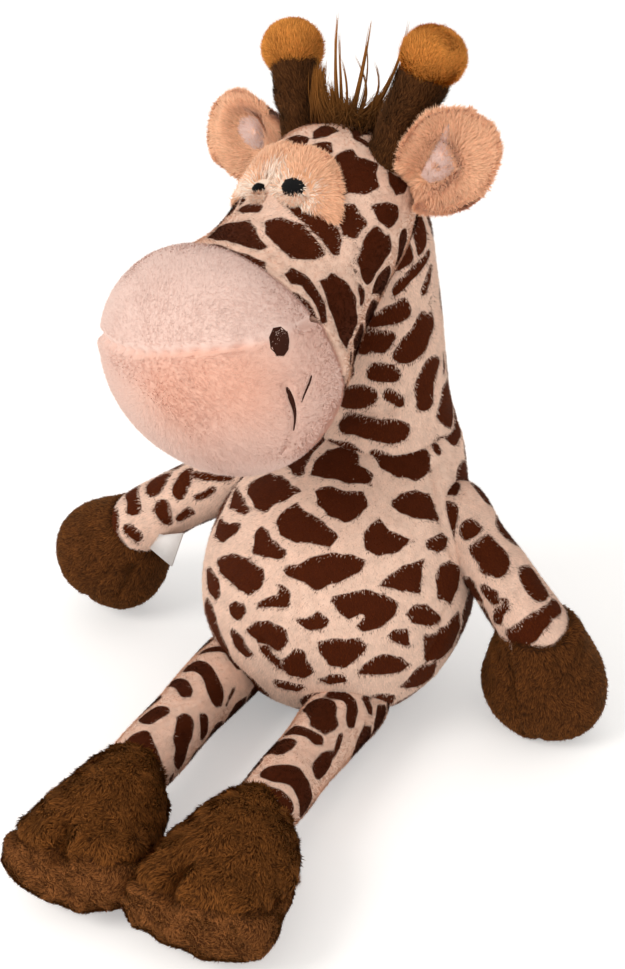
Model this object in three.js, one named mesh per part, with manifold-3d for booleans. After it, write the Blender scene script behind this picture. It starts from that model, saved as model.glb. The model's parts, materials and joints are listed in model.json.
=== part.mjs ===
// A sitting plush giraffe: pear-shaped body, thick neck, drooping head with a big muzzle, floppy limbs with
// furry hooves. Millimetres, +Z up, the giraffe faces -Y, its left side is +X, and the seat rests on Z = 0.
import * as THREE from 'three';
import { ConvexGeometry } from 'three/addons/geometries/ConvexGeometry.js';
import { mergeVertices } from 'three/addons/utils/BufferGeometryUtils.js';
import Module from 'manifold-3d';

const wasm = await Module();
wasm.setup();

// Clearances
const gap = 0.3; // between two pieces that touch
const sweepGap = 0.5; // between the body and a limb that swings past it
const sweepStep = 15; // degrees between two places of a limb in the room that is left for it
const sweepSides = 10; // of that room, which goes round the limb
const restCut = 0.5; // depth of the flat where a soft form rests on the floor
const overrun = 40; // how far a cutting block reaches past what it cuts
const skin = 1.6; // plush with its backing

// Body: a pear with a nearly straight back
const bodyHalfWide = 74;
const bodyHalfDeep = 70;
const bodyHigh = 152;
const bodySides = 24;
const shoulderLean = 10; // the top leans to the giraffe's left
const neckSetBack = 36; // neck axis behind the middle of the body
// height, half width, half depth and set back, as shares of the four sizes above
const bodyShares = [
  [0.0, 0.3, 0.3, 0],
  [0.035, 0.49, 0.5, 0],
  [0.1, 0.69, 0.7, 0],
  [0.2, 0.86, 0.865, 0],
  [0.33, 0.97, 0.97, 0],
  [0.45, 1.0, 1.0, 0.03],
  [0.57, 0.975, 0.975, 0.1],
  [0.69, 0.9, 0.905, 0.25],
  [0.8, 0.79, 0.8, 0.47],
  [0.9, 0.655, 0.67, 0.73],
  [1.0, 0.51, 0.53, 1.0],
];

// Neck
const neckFootRadius = 32.5; // the round end that sits in the body
const neckWaistRadius = 27.5;
const neckTopRadius = 23; // the round end that sits in the head
const neckLength = 95; // between the centres of the two round ends
const neckRaise = 9.5; // centre of the lower round end above the body's rim
const neckSides = 20;

// Head: one form from the crown to the nose, on a bent centre line; its skin ends at the muzzle seam
const headTurn = -19; // degrees, to the giraffe's right
const headRoll = 9; // degrees, its left side up
const craniumForward = 34; // centre of the cranium from the top of the neck
const craniumUp = 24;
const craniumRadius = 40;
const craniumSlope = 52; // degrees below level, centre line through the cranium
const muzzleSlope = 12; // degrees below level, centre line through the muzzle
const snoutLength = 98; // along the centre line, cranium centre to muzzle middle
const seamToMiddle = 22; // muzzle seam behind the muzzle's middle
const muzzleLength = 51; // muzzle middle to the tip of the nose
const muzzleHalfWide = 64;
const muzzleHalfHigh = 57;
const headSides = 18;
// place from the crown to the middle, half width, half height and rise, as shares of the cranium radius
const craniumShares = [
  [-1.0, 0, 0, 0],
  [-0.94, 0.36, 0.33, 0],
  [-0.8, 0.63, 0.58, 0],
  [-0.55, 0.88, 0.81, 0],
  [-0.2, 1.05, 0.96, 0.01],
  [0.2, 1.11, 0.98, 0.04],
];
// place from cranium to muzzle middle, half sizes and rise, as shares of the snout and the muzzle
const snoutShares = [
  [0.24, 0.68, 0.665, 0.055],
  [0.4, 0.7, 0.68, 0.065],
  [0.54, 0.75, 0.735, 0.05],
  [0.66, 0.81, 0.81, 0.03],
];
const seamShares = [0.875, 0.885, 0.01];
const halfSeamShares = [0.965, 0.965, 0];
const noseShares = [
  [0.0, 1.0, 1.0, 0],
  [0.25, 0.985, 0.98, 0],
  [0.5, 0.905, 0.89, 0],
  [0.72, 0.745, 0.73, 0],
  [0.88, 0.52, 0.5, 0],
  [0.965, 0.29, 0.28, 0],
  [1.0, 0, 0, 0],
];
const lipRaise = 16; // seam between the two muzzle panels, above the muzzle's middle
const muzzleTwist = 10; // degrees, the muzzle's left side up

// Horns
const hornSpread = 28; // from the middle, at the root
const hornForward = 25;
const hornRootUp = 46;
const hornRadius = 12.5;
const hornLeanOut = 20; // degrees
const hornLeanBack = 19; // degrees
const hornReach = 53; // root to the centre of the furry tip
const hornRootSink = 12; // of the stem under the root's point, before it is cut to the head
const hornTipRadius = 16;
const hornTipHalfHigh = 14;
const hornSides = 12;

// Ears: a cup on a round root
const earSpread = 40; // root, from the middle
const earForward = 24;
const earUp = 36;
const earLength = 56;
const earHalfWide = 25;
const earHalfThick = 11;
const earRise = 30; // degrees above level
const earSweep = 12; // degrees forward
const earOpen = 14; // degrees the cup looks up
const earHollowShift = 8; // of the hollow towards the opening
const earWall = 4;
const earLiningThick = 1.6;
const earSides = 14;

// Eyes
const patchThick = 2.6;
const patchRadius = 17;
const patchSides = 14;
const patchSpread = 17.8;
const patchForward = 66;
const patchUp = 42;
const pupilThick = 1;
const pupilSpread = 11.5;
const pupilUp = 44;
const pupilShift = 3; // both pupils sit a little to the giraffe's left
const pupilHalfWide = 4.4;
const pupilHalfHigh = 4.8;
const lidHalfWide = 5.6;
const lidHalfHigh = 5.2;
const lidDrop = 2.4; // middle of the pale lid under the middle of the pupil
const eyeForward = 70;
const eyeReach = 14; // how deep an eye's outline reaches through the face

// Nose and mouth, embroidered on the muzzle
const stitchThick = 1;
const nostrilPlace = [53, 12, 13]; // out, forward of the muzzle's middle, up
const nostrilHalfWide = 4.8;
const nostrilHalfHigh = 7.6;
const mouthPlace = [56, 13, -16];
const mouthHalfLong = 5.5;
const cheekPlace = [59, 4, -17];
const cheekHalfLong = 5;
const stitchHalfWide = 1.3;
const stitchReach = 12; // how deep a stitch's outline reaches through the skin
const stitchSides = 10;

// Hair tuft between the horns
const tuftShift = 5; // to the giraffe's left
const tuftForward = 26;
const tuftUp = 58;
const tuftHalfWide = 13;
const tuftHalfDeep = 8;
const tuftHalfHigh = 12;
const tuftLength = 64;
const wispCount = 7;
const wispRadius = 3;
const wispFan = 20; // degrees between the outer wisps and the middle one
const wispSides = 6;

// Arms
const shoulderSpread = 60;
const shoulderBack = 18;
const shoulderUp = 116;
const armRadii = [18, 17, 17.5, 18.5]; // shoulder to wrist
const armLength = 76;
const armOut = { left: 45.5, right: 52 }; // degrees
const armForward = { left: 15, right: 23 }; // degrees
const armRange = 75; // degrees

// Hooves of the hands
const handLength = 66.5; // wrist to tip; the left hand just reaches the floor
const handHalfWide = 35;
const handHalfThick = 28.5;
const handLean = { left: [13, -3], right: [12, 38] }; // degrees from hanging, to the back and to its right
const handSides = 16;
const wristOut = 25; // degrees, the hand swings outwards
const wristIn = 10; // and inwards
// place, half width and half thickness, as shares of the three sizes above
const handShares = [
  [0.12, 0.56, 0.68],
  [0.3, 0.8, 0.86],
  [0.5, 0.97, 0.98],
  [0.68, 1.0, 1.0],
  [0.84, 0.84, 0.86],
  [0.95, 0.52, 0.54],
  [1.0, 0, 0],
];

// Legs: each lies forward on the floor
const hipSpread = 36;
const hipShift = 7; // both hips sit a little to the giraffe's right
const hipForward = 38;
const hipUp = 24;
const legRadii = [20, 17.5, 16, 16.5]; // hip to ankle
const legLength = 104;
const legTurn = { left: 0.5, right: 2 }; // degrees to the giraffe's left
const legDown = 75; // degrees, hanging over an edge
const legUp = 20; // degrees, raised
const limbSides = 16;

// Feet
const footLength = 91; // ankle to toe tips
const footHalfWide = 37;
const footHalfHigh = 29;
const footDrop = 3; // middle of the foot below the ankle
const footTurn = { left: 3.5, right: 2 }; // degrees to the giraffe's left
const feetMeet = 1.5; // the feet press together this far to the giraffe's right of the middle
const footSides = 18;
// place, half width and half height, as shares of the three sizes above
const footShares = [
  [0.085, 0.52, 0.63],
  [0.24, 0.74, 0.85],
  [0.42, 0.92, 0.99],
  [0.6, 1.0, 1.0],
  [0.78, 0.99, 0.9],
  [0.91, 0.84, 0.7],
  [0.975, 0.56, 0.44],
  [1.0, 0, 0],
];
const cleftHalfWide = 4;
const cleftDeep = 24; // between the two toes, from their tips
const cleftHigh = 70;
const soleHeel = 13; // height of the sole's seam under the ankle
const soleToe = 35; // and at the toe tips
const ankleRange = 25; // degrees, up and down

// Tail, behind
const tailUp = 42;
const tailRootSink = 3; // centre of the root's round end inside the body's back
const tailRadii = [5, 4.2, 4, 4];
const tailLength = 34;
const tailHang = 42; // degrees from straight down, to the back
const tailRange = 70; // degrees
const tailTuftHalfWide = 7.5;
const tailTuftHalfLong = 12;
const tailSides = 12;

// Woven label at the right wrist, left bare
const labelWide = 20;
const labelLong = 24;
const labelThick = 0.8;
const labelPlace = [20, -13, 1]; // middle, from the middle of the wrist
const labelTurn = [-30, 29, 26]; // degrees about its width, its face and the upright

export const giraffe = new THREE.Group();

const radians = THREE.MathUtils.degToRad;
const across = new THREE.Vector3(1, 0, 0);
const back = new THREE.Vector3(0, 1, 0);
const sides = { left: 1, right: -1 };

function geometryFrom(points, faces) {
  const geometry = new THREE.BufferGeometry();
  geometry.setAttribute('position', new THREE.Float32BufferAttribute(points, 3));
  geometry.setIndex(faces);
  return geometry;
}

// Turns the faces round if they point inwards.
function outward(geometry) {
  const p = geometry.getAttribute('position');
  const index = geometry.getIndex().array;
  const a = new THREE.Vector3();
  const b = new THREE.Vector3();
  const c = new THREE.Vector3();
  let volume = 0;
  for (let i = 0; i < index.length; i += 3) {
    a.fromBufferAttribute(p, index[i]);
    b.fromBufferAttribute(p, index[i + 1]);
    c.fromBufferAttribute(p, index[i + 2]);
    volume += a.dot(b.cross(c));
  }
  if (volume < 0) index.reverse();
  return geometry;
}

// A closed form through elliptical rings. Each ring has a centre, two directions and two half sizes.
function loft(rings, count) {
  const points = [];
  const faces = [];
  const starts = [];
  for (const ring of rings) {
    starts.push(points.length / 3);
    const steps = ring.a === 0 ? 1 : count;
    for (let i = 0; i < steps; i += 1) {
      const turn = (2 * Math.PI * i) / count;
      const point = ring.at.clone()
        .addScaledVector(ring.u, ring.a * Math.cos(turn))
        .addScaledVector(ring.v, ring.b * Math.sin(turn));
      points.push(point.x, point.y, point.z);
    }
  }
  const cap = (ring, start, flip) => {
    const middle = points.length / 3;
    points.push(ring.at.x, ring.at.y, ring.at.z);
    for (let i = 0; i < count; i += 1) {
      const next = start + ((i + 1) % count);
      faces.push(...(flip ? [middle, start + i, next] : [middle, next, start + i]));
    }
  };
  for (let k = 0; k + 1 < rings.length; k += 1) {
    const here = starts[k];
    const there = starts[k + 1];
    for (let i = 0; i < count; i += 1) {
      const next = (i + 1) % count;
      if (rings[k].a === 0) faces.push(here, there + i, there + next);
      else if (rings[k + 1].a === 0) faces.push(here + i, there, here + next);
      else faces.push(here + i, there + i, here + next, here + next, there + i, there + next);
    }
  }
  const last = rings.length - 1;
  if (rings[0].a > 0) cap(rings[0], starts[0], true);
  if (rings[last].a > 0) cap(rings[last], starts[last], false);
  return outward(geometryFrom(points, faces));
}

function solidFrom(geometry) {
  const bare = geometry.clone();
  bare.deleteAttribute('normal');
  bare.deleteAttribute('uv');
  const merged = mergeVertices(bare);
  return new wasm.Manifold(new wasm.Mesh({
    numProp: 3,
    vertProperties: new Float32Array(merged.getAttribute('position').array),
    triVerts: new Uint32Array(merged.getIndex().array),
  }));
}

function geometryOf(solid) {
  const mesh = solid.getMesh();
  return geometryFrom(Array.from(mesh.vertProperties), Array.from(mesh.triVerts));
}

const cut = (geometry, ...tools) => geometryOf(
  tools.reduce((left, tool) => left.subtract(solidFrom(tool)), solidFrom(geometry)),
);
const common = (geometry, other) => geometryOf(solidFrom(geometry).intersect(solidFrom(other)));
const joined = (first, ...others) => geometryOf(
  others.reduce((sum, other) => sum.add(solidFrom(other)), solidFrom(first)),
);

function ellipsoid(x, y, z, around) {
  return new THREE.SphereGeometry(1, around, Math.ceil(around / 2)).scale(x, y, z);
}

const ball = (radius, around) => ellipsoid(radius, radius, radius, around);

// Radii whose faceted form goes round the true round one, so that a round piece can turn in it.
const roundly = (radius, around) => radius / Math.cos(Math.PI / around);
const socket = (radius, around) => ball(roundly(roundly(radius + gap, around), around), around);

// Puts a named piece into a group.
const pieces = {};
function piece(name, geometry, material, group) {
  pieces[name] = new THREE.Mesh(geometry, material);
  pieces[name].name = name;
  group.add(pieces[name]);
}

function joint(parent, x, y, z, order = 'XYZ') {
  const group = new THREE.Group();
  group.position.set(x, y, z);
  group.rotation.order = order;
  parent.add(group);
  return group;
}

// A geometry of one group, as another group sees it.
function seenFrom(group, geometry, owner) {
  giraffe.updateMatrixWorld(true);
  const matrix = group.matrixWorld.clone().invert().multiply(owner.matrixWorld);
  return geometry.clone().applyMatrix4(matrix);
}

// The room that a limb takes while it turns about an axis through a point: the hull of its places.
function swept(group, radii, length, axis, from, to, point = group.position) {
  const rounder = radii.map((radius) => roundly(radius, sweepSides));
  const geometry = seenFrom(giraffe, limb(rounder, length, sweepGap, sweepSides), group);
  const steps = Math.ceil(Math.abs(to - from) / sweepStep);
  const corners = [];
  const p = geometry.getAttribute('position');
  for (let i = 0; i <= steps; i += 1) {
    const angle = radians(THREE.MathUtils.lerp(from, to, i / steps));
    for (let k = 0; k < p.count; k += 1) {
      const corner = new THREE.Vector3().fromBufferAttribute(p, k).sub(point);
      corners.push(corner.applyAxisAngle(axis, angle).add(point));
    }
  }
  return new ConvexGeometry(corners);
}

const fabric = (color) => new THREE.MeshStandardMaterial({ color, roughness: 0.95, metalness: 0 });
const spotted = fabric(0xb98a66);
const pink = fabric(0xefc4b4);
const peach = fabric(0xe3a983);
const pale = fabric(0xebcfcb);
const darkBrown = fabric(0x3a2012);
const gold = fabric(0xc9822e);
const hoofBrown = fabric(0x6b4426);
const hairBrown = fabric(0x8a5a1e);
const labelWhite = fabric(0xf2f0ee);
const fibre = fabric(0xf6f4ef);
const thread = new THREE.MeshStandardMaterial({ color: 0x2b140c, roughness: 0.6, metalness: 0 });
const black = new THREE.MeshStandardMaterial({ color: 0x0b0b0d, roughness: 0.3, metalness: 0 });

// The body's form, drawn in by some thickness.
function bodyForm(inset) {
  const last = bodyShares.length - 1;
  return loft(bodyShares.map(([high, wide, deep, set], k) => {
    const end = k === 0 ? inset : k === last ? -inset : 0;
    return {
      at: new THREE.Vector3(shoulderLean * set, neckSetBack * set, bodyHigh * high + end),
      u: across,
      v: back,
      a: bodyHalfWide * wide - inset,
      b: bodyHalfDeep * deep - inset,
    };
  }), bodySides);
}

// A tube along -Z between two round ends, through radii at even steps.
function limb(radii, length, grow, count) {
  const rings = [];
  const last = radii.length - 1;
  const quarter = 3;
  for (let i = 0; i <= quarter; i += 1) {
    const turn = (Math.PI / 2) * (i / quarter);
    const r = radii[0] + grow;
    rings.push({ z: r * Math.cos(turn), r: i === 0 ? 0 : r * Math.sin(turn) });
  }
  for (let i = 1; i < last; i += 1) rings.push({ z: -length * (i / last), r: radii[i] + grow });
  for (let i = 0; i <= quarter; i += 1) {
    const turn = (Math.PI / 2) * (i / quarter);
    const r = radii[last] + grow;
    rings.push({ z: -length - r * Math.sin(turn), r: i === quarter ? 0 : r * Math.cos(turn) });
  }
  return loft(rings.map(({ z, r }) => ({
    at: new THREE.Vector3(0, 0, z), u: across, v: back, a: r, b: r,
  })), count);
}

// A hoof along -Z, through a table of shares.
function hoof(shares, length, halfWide, halfThick, drop, count) {
  return loft(shares.map(([place, wide, thick]) => ({
    at: new THREE.Vector3(0, drop, -place * length),
    u: across,
    v: back,
    a: wide * halfWide,
    b: thick * halfThick,
  })), count);
}

// A point of the head's centre line, with its slope, at some length from the cranium's centre.
function spine(s) {
  const steps = 24;
  const slopeAt = (t) => {
    const share = THREE.MathUtils.clamp(t / snoutLength, 0, 1);
    return radians(THREE.MathUtils.lerp(craniumSlope, muzzleSlope, share));
  };
  const at = new THREE.Vector3(0, -craniumForward, craniumUp);
  for (let i = 0; i < steps; i += 1) {
    const slope = slopeAt((s * (i + 0.5)) / steps);
    at.y -= (s / steps) * Math.cos(slope);
    at.z -= (s / steps) * Math.sin(slope);
  }
  const slope = slopeAt(s);
  return { at, u: across, v: new THREE.Vector3(0, -Math.sin(slope), Math.cos(slope)) };
}

// Rings of the head: place on the centre line, half width, half height and rise.
const ringOf = ([wide, high, rise], place) => [
  place, wide * muzzleHalfWide, high * muzzleHalfHigh, rise * muzzleHalfHigh,
];
const seamPlace = snoutLength - seamToMiddle;
const headRings = [
  ...craniumShares.map((shares) => shares.map((share) => share * craniumRadius)),
  ...snoutShares.map(([place, ...shares]) => ringOf(shares, place * snoutLength)),
];
const noseRings = [
  ringOf(halfSeamShares, snoutLength - seamToMiddle / 2),
  ...noseShares.map(([place, ...shares]) => ringOf(shares, snoutLength + place * muzzleLength)),
];

// The head's form through a list of rings, grown by some thickness.
function headForm(rings, grow) {
  return loft(rings.map(([place, wide, high, rise]) => {
    let grown = place;
    if (place < 0) grown = place * (1 + grow / craniumRadius);
    if (place > snoutLength) grown += ((place - snoutLength) * grow) / muzzleLength;
    const ring = spine(grown);
    ring.at.addScaledVector(ring.v, rise);
    return { ...ring, a: wide === 0 ? 0 : wide + grow, b: wide === 0 ? 0 : high + grow };
  }), headSides);
}

const wholeHead = (grow) => headForm([...headRings, ringOf(seamShares, seamPlace), ...noseRings], grow);
const muzzleForm = (grow) => headForm([ringOf(seamShares, seamPlace + gap), ...noseRings], grow);

// Joints' groups, each at its pivot
const torso = joint(giraffe, 0, 0, 0);
const neck = joint(giraffe, shoulderLean, neckSetBack, bodyHigh + neckRaise);
const head = joint(neck, 0, 0, neckLength, 'ZYX');
head.rotation.set(0, radians(-headRoll), radians(headTurn));
const ankleUp = footHalfHigh + footDrop - restCut;
const legRise = Math.asin((ankleUp - hipUp) / legLength);
const arms = {};
const hands = {};
const legs = {};
const feet = {};
for (const [side, sign] of Object.entries(sides)) {
  const arm = joint(giraffe, sign * shoulderSpread, shoulderBack, shoulderUp);
  arm.rotation.set(radians(-armForward[side]), radians(-sign * armOut[side]), 0);
  const [lean, tilt] = handLean[side];
  const hand = joint(arm, 0, 0, -armLength);
  const hanging = new THREE.Quaternion().setFromEuler(new THREE.Euler(radians(lean), radians(tilt), 0));
  hand.quaternion.copy(arm.quaternion).invert().multiply(hanging);
  const leg = joint(giraffe, sign * hipSpread - hipShift, -hipForward, hipUp, 'ZYX');
  leg.rotation.set(-Math.PI / 2 - legRise, 0, radians(legTurn[side]));
  const foot = joint(leg, 0, 0, -legLength);
  const level = new THREE.Euler(-Math.PI / 2, 0, radians(legTurn[side] + footTurn[side]), 'ZYX');
  foot.quaternion.copy(leg.quaternion).invert().multiply(new THREE.Quaternion().setFromEuler(level));
  Object.assign(arms, { [side]: arm });
  Object.assign(hands, { [side]: hand });
  Object.assign(legs, { [side]: leg });
  Object.assign(feet, { [side]: foot });
}
const tail = joint(giraffe, 0, bodyHalfDeep - tailRootSink, tailUp);
tail.rotation.x = radians(tailHang);

// The floor, as a group sees it
const floorBlock = new THREE.BoxGeometry(
  2 * (bodyHigh + overrun), 4 * (bodyHigh + overrun), overrun,
).translate(0, 0, -overrun / 2);
const floorFrom = (group) => seenFrom(group, floorBlock, giraffe);

// Body and its stuffing, with room for the neck, the limbs and the tail
function roomInBody() {
  const rooms = [socket(neckFootRadius, neckSides).translate(...neck.position)];
  for (const [side, sign] of Object.entries(sides)) {
    rooms.push(swept(arms[side], armRadii, armLength, back, 0, -sign * armRange));
    rooms.push(swept(legs[side], legRadii, legLength, across, -legUp, legDown));
  }
  rooms.push(swept(tail, tailRadii, tailLength, across, 0, tailRange));
  return joined(...rooms);
}
const bodyRoom = roomInBody();
piece('body', cut(bodyForm(0), bodyForm(skin), bodyRoom), spotted, torso);
piece('body_stuffing', cut(bodyForm(skin + gap), bodyRoom), fibre, torso);

// Neck
const neckRadii = [neckTopRadius, neckTopRadius, neckWaistRadius, neckFootRadius, neckFootRadius];
piece('neck', limb(neckRadii, neckLength, 0, neckSides).translate(0, 0, neckLength), spotted, neck);

// Head, its stuffing and the two muzzle panels
const roundNeck = limb(neckRadii.map((radius) => roundly(radius, neckSides)), neckLength, gap, neckSides);
const neckInHead = seenFrom(head, roundNeck.translate(0, 0, neckLength), neck);
const skullForm = headForm([...headRings, ringOf(seamShares, seamPlace)], 0);
piece('head', cut(skullForm, wholeHead(-skin), neckInHead), spotted, head);
piece('head_stuffing', cut(wholeHead(-skin - gap), neckInHead), fibre, head);
const lip = spine(snoutLength).at;
const upperBlock = new THREE.BoxGeometry(
  2 * (muzzleHalfWide + overrun), 2 * (muzzleLength + snoutLength), 4 * overrun,
).translate(0, 0, 2 * overrun + lipRaise).rotateY(radians(-muzzleTwist)).translate(0, lip.y, lip.z);
const muzzleShell = cut(muzzleForm(0), wholeHead(-skin));
piece('muzzle_upper', common(muzzleShell, upperBlock), pink, head);
piece('muzzle_lower', cut(muzzleShell, upperBlock.clone().translate(0, 0, -gap)), pink, head);

// A flat piece that follows the head, where an outline runs through it.
function onHead(outline, lift, thick) {
  return cut(common(outline, wholeHead(lift + thick)), wholeHead(lift));
}

for (const [side, sign] of Object.entries(sides)) {
  // Horn and its furry tip
  const horn = joint(head, sign * hornSpread, -hornForward, hornRootUp);
  horn.rotation.set(radians(-hornLeanBack), radians(sign * hornLeanOut), 0);
  const tip = (grow) => ellipsoid(
    hornTipRadius + grow, hornTipRadius + grow, hornTipHalfHigh + grow, hornSides + 2,
  ).translate(0, 0, hornReach);
  const stemLength = hornReach + hornRootSink;
  const stem = (grow) => new THREE.CylinderGeometry(
    hornRadius + grow, hornRadius + grow, stemLength, hornSides,
  ).rotateX(Math.PI / 2).translate(0, 0, stemLength / 2 - hornRootSink);
  piece(`horn_${side}`, cut(stem(0), tip(gap), seenFrom(horn, wholeHead(gap), head)), darkBrown, horn);
  piece(`horn_tip_${side}`, tip(0), gold, horn);

  // Ear: a cup that opens forward, with its lining
  const ear = joint(head, sign * earSpread, -earForward, earUp, 'ZYX');
  ear.rotation.set(radians(-earOpen), radians(sign * (90 - earRise)), radians(-sign * earSweep));
  const cup = ellipsoid(earHalfWide, earHalfThick, earLength / 2, earSides).translate(0, 0, earLength / 2);
  const hollow = (grow) => ellipsoid(
    earHalfWide - earWall + grow, earHalfThick + grow, earLength / 2 - earWall + grow, earSides,
  ).translate(0, -earHollowShift, earLength / 2);
  const besideEar = [seenFrom(ear, wholeHead(gap), head), seenFrom(ear, stem(gap), horn)];
  piece(`ear_${side}`, cut(cup, hollow(gap), ...besideEar), peach, ear);
  const lining = cut(common(hollow(0), cup), hollow(0).translate(0, -earLiningThick, 0), ...besideEar);
  piece(`ear_lining_${side}`, lining, pale, ear);

  // Eye: furry patch, pale lid and pupil
  const half = new THREE.BoxGeometry(2 * patchRadius, 4 * patchRadius, 4 * patchRadius)
    .translate(sign * (patchRadius + gap / 2), -patchForward, patchUp);
  const patchBall = ball(patchRadius, patchSides).translate(sign * patchSpread, -patchForward, patchUp);
  piece(`eye_patch_${side}`, onHead(common(patchBall, half), gap, patchThick), peach, head);
  const oval = (wide, high, drop) => ellipsoid(wide, eyeReach, high, stitchSides)
    .translate(sign * pupilSpread + pupilShift, -eyeForward, pupilUp - drop);
  const eyeLift = gap + patchThick + gap;
  piece(`pupil_${side}`, onHead(oval(pupilHalfWide, pupilHalfHigh, 0), eyeLift, pupilThick), black, head);
  const besidePupil = oval(pupilHalfWide + gap, pupilHalfHigh + gap, 0);
  const lidOutline = cut(oval(lidHalfWide, lidHalfHigh, lidDrop), besidePupil);
  piece(`eyelid_${side}`, onHead(lidOutline, eyeLift, pupilThick), pale, head);

  // Nostril, mouth corner and cheek stitch
  const stitched = (place, wide, high) => {
    const outline = ellipsoid(stitchReach, wide, high, stitchSides);
    outline.translate(sign * place[0], -place[1], place[2]).rotateY(radians(-muzzleTwist));
    return onHead(outline.translate(0, lip.y, lip.z), gap, stitchThick);
  };
  piece(`nostril_${side}`, stitched(nostrilPlace, nostrilHalfWide, nostrilHalfHigh), thread, head);
  piece(`mouth_stitch_${side}`, stitched(mouthPlace, stitchHalfWide, mouthHalfLong), thread, head);
  piece(`cheek_stitch_${side}`, stitched(cheekPlace, stitchHalfWide, cheekHalfLong), thread, head);
}

// Hair tuft: wisps that fan out of one clump
const tuft = joint(head, tuftShift, -tuftForward, tuftUp);
const wisps = [];
for (let i = 0; i < wispCount; i += 1) {
  const share = (2 * i) / (wispCount - 1) - 1;
  const length = tuftLength * (1 - Math.abs(share) / 4 - (i % 2) / 6);
  const wisp = new THREE.ConeGeometry(wispRadius, length, wispSides).rotateX(Math.PI / 2);
  wisp.translate(share * tuftHalfWide / 2, (i % 2 - 1 / 2) * wispRadius, length / 2);
  wisps.push(wisp.rotateY(radians(wispFan * share)).rotateX(radians(wispFan * (1 / 2 - i % 2))));
}
const clump = ellipsoid(tuftHalfWide, tuftHalfDeep, tuftHalfHigh, wispSides * 2);
const headUnderTuft = seenFrom(tuft, wholeHead(gap), head);
piece('hair_tuft', cut(joined(clump, ...wisps), headUnderTuft), hairBrown, tuft);

// The other foot's side of the place where the feet press together
function besideBlock(sign) {
  const deep = 2 * (hipForward + legLength + footLength);
  const wide = footHalfWide + overrun;
  return new THREE.BoxGeometry(wide, deep, deep).translate(-sign * (wide / 2 - gap / 2) - feetMeet, 0, 0);
}

// Limbs
const handForm = (grow) => hoof(
  handShares, handLength + grow, handHalfWide + grow, handHalfThick + grow, 0, handSides,
);
const armForm = (grow) => limb(armRadii, armLength, grow, limbSides);
for (const [side, sign] of Object.entries(sides)) {
  piece(`arm_${side}`, armForm(0), spotted, arms[side]);
  const wristAt = hands[side].getWorldPosition(new THREE.Vector3());
  const armRoom = swept(arms[side], armRadii, armLength, back, -sign * wristIn, sign * wristOut, wristAt);
  const armInHand = seenFrom(hands[side], armRoom, giraffe);
  piece(`hand_${side}`, cut(handForm(0), armInHand, floorFrom(hands[side])), hoofBrown, hands[side]);

  piece(`leg_${side}`, limb(legRadii, legLength, 0, limbSides), spotted, legs[side]);
  const ankleAt = feet[side].getWorldPosition(new THREE.Vector3());
  const legRoom = swept(legs[side], legRadii, legLength, across, -ankleRange, ankleRange, ankleAt);
  const legInFoot = seenFrom(feet[side], legRoom, giraffe);
  const cleft = ellipsoid(cleftHalfWide, cleftHigh / 2, cleftDeep, stitchSides)
    .translate(0, 0, -footLength);
  const footForm = hoof(footShares, footLength, footHalfWide, footHalfHigh, footDrop, footSides);
  const beside = seenFrom(feet[side], besideBlock(sign), giraffe);
  const foot = cut(footForm, cleft, legInFoot, floorFrom(feet[side]), beside);
  const soleSlope = Math.atan((soleToe - soleHeel) / footLength);
  const soleBlock = new THREE.BoxGeometry(
    2 * (footHalfWide + overrun), 2 * overrun, 2 * (footLength + overrun),
  ).translate(0, overrun, 0).rotateX(-soleSlope).translate(0, ankleUp - soleHeel, 0);
  piece(`sole_${side}`, common(foot, soleBlock), hoofBrown, feet[side]);
  piece(`foot_${side}`, cut(foot, soleBlock.clone().translate(0, -gap, 0)), hoofBrown, feet[side]);
}

// Tail and its tuft
piece('tail', limb(tailRadii, tailLength, 0, tailSides), spotted, tail);
const tailEnd = socket(tailRadii[tailRadii.length - 1], tailSides).translate(0, 0, -tailLength);
const tailTuft = ellipsoid(tailTuftHalfWide, tailTuftHalfWide, tailTuftHalfLong, tailSides)
  .translate(0, 0, -tailLength - tailTuftHalfLong);
piece('tail_tuft', cut(tailTuft, tailEnd, floorFrom(tail)), hoofBrown, tail);

// Label on the inner side of the right arm, at the wrist
const labelAt = hands.right.getWorldPosition(new THREE.Vector3()).add(new THREE.Vector3(...labelPlace));
const label = joint(giraffe, ...labelAt);
label.rotation.set(...labelTurn.map(radians), 'ZXY');
const besideLabel = [seenFrom(label, armForm(gap), arms.right), seenFrom(label, handForm(gap), hands.right)];
const ribbon = new THREE.BoxGeometry(labelWide, labelThick, labelLong);
piece('wrist_label', cut(ribbon, ...besideLabel), labelWhite, label);

export default giraffe;
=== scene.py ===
# A sitting plush giraffe. Each stuffed form is lofted from a few rings, pressed in at its seams and folds,
# and then grown over with pile. Lengths are in millimetres and angles in degrees, as in the part's source.
import math

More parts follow.
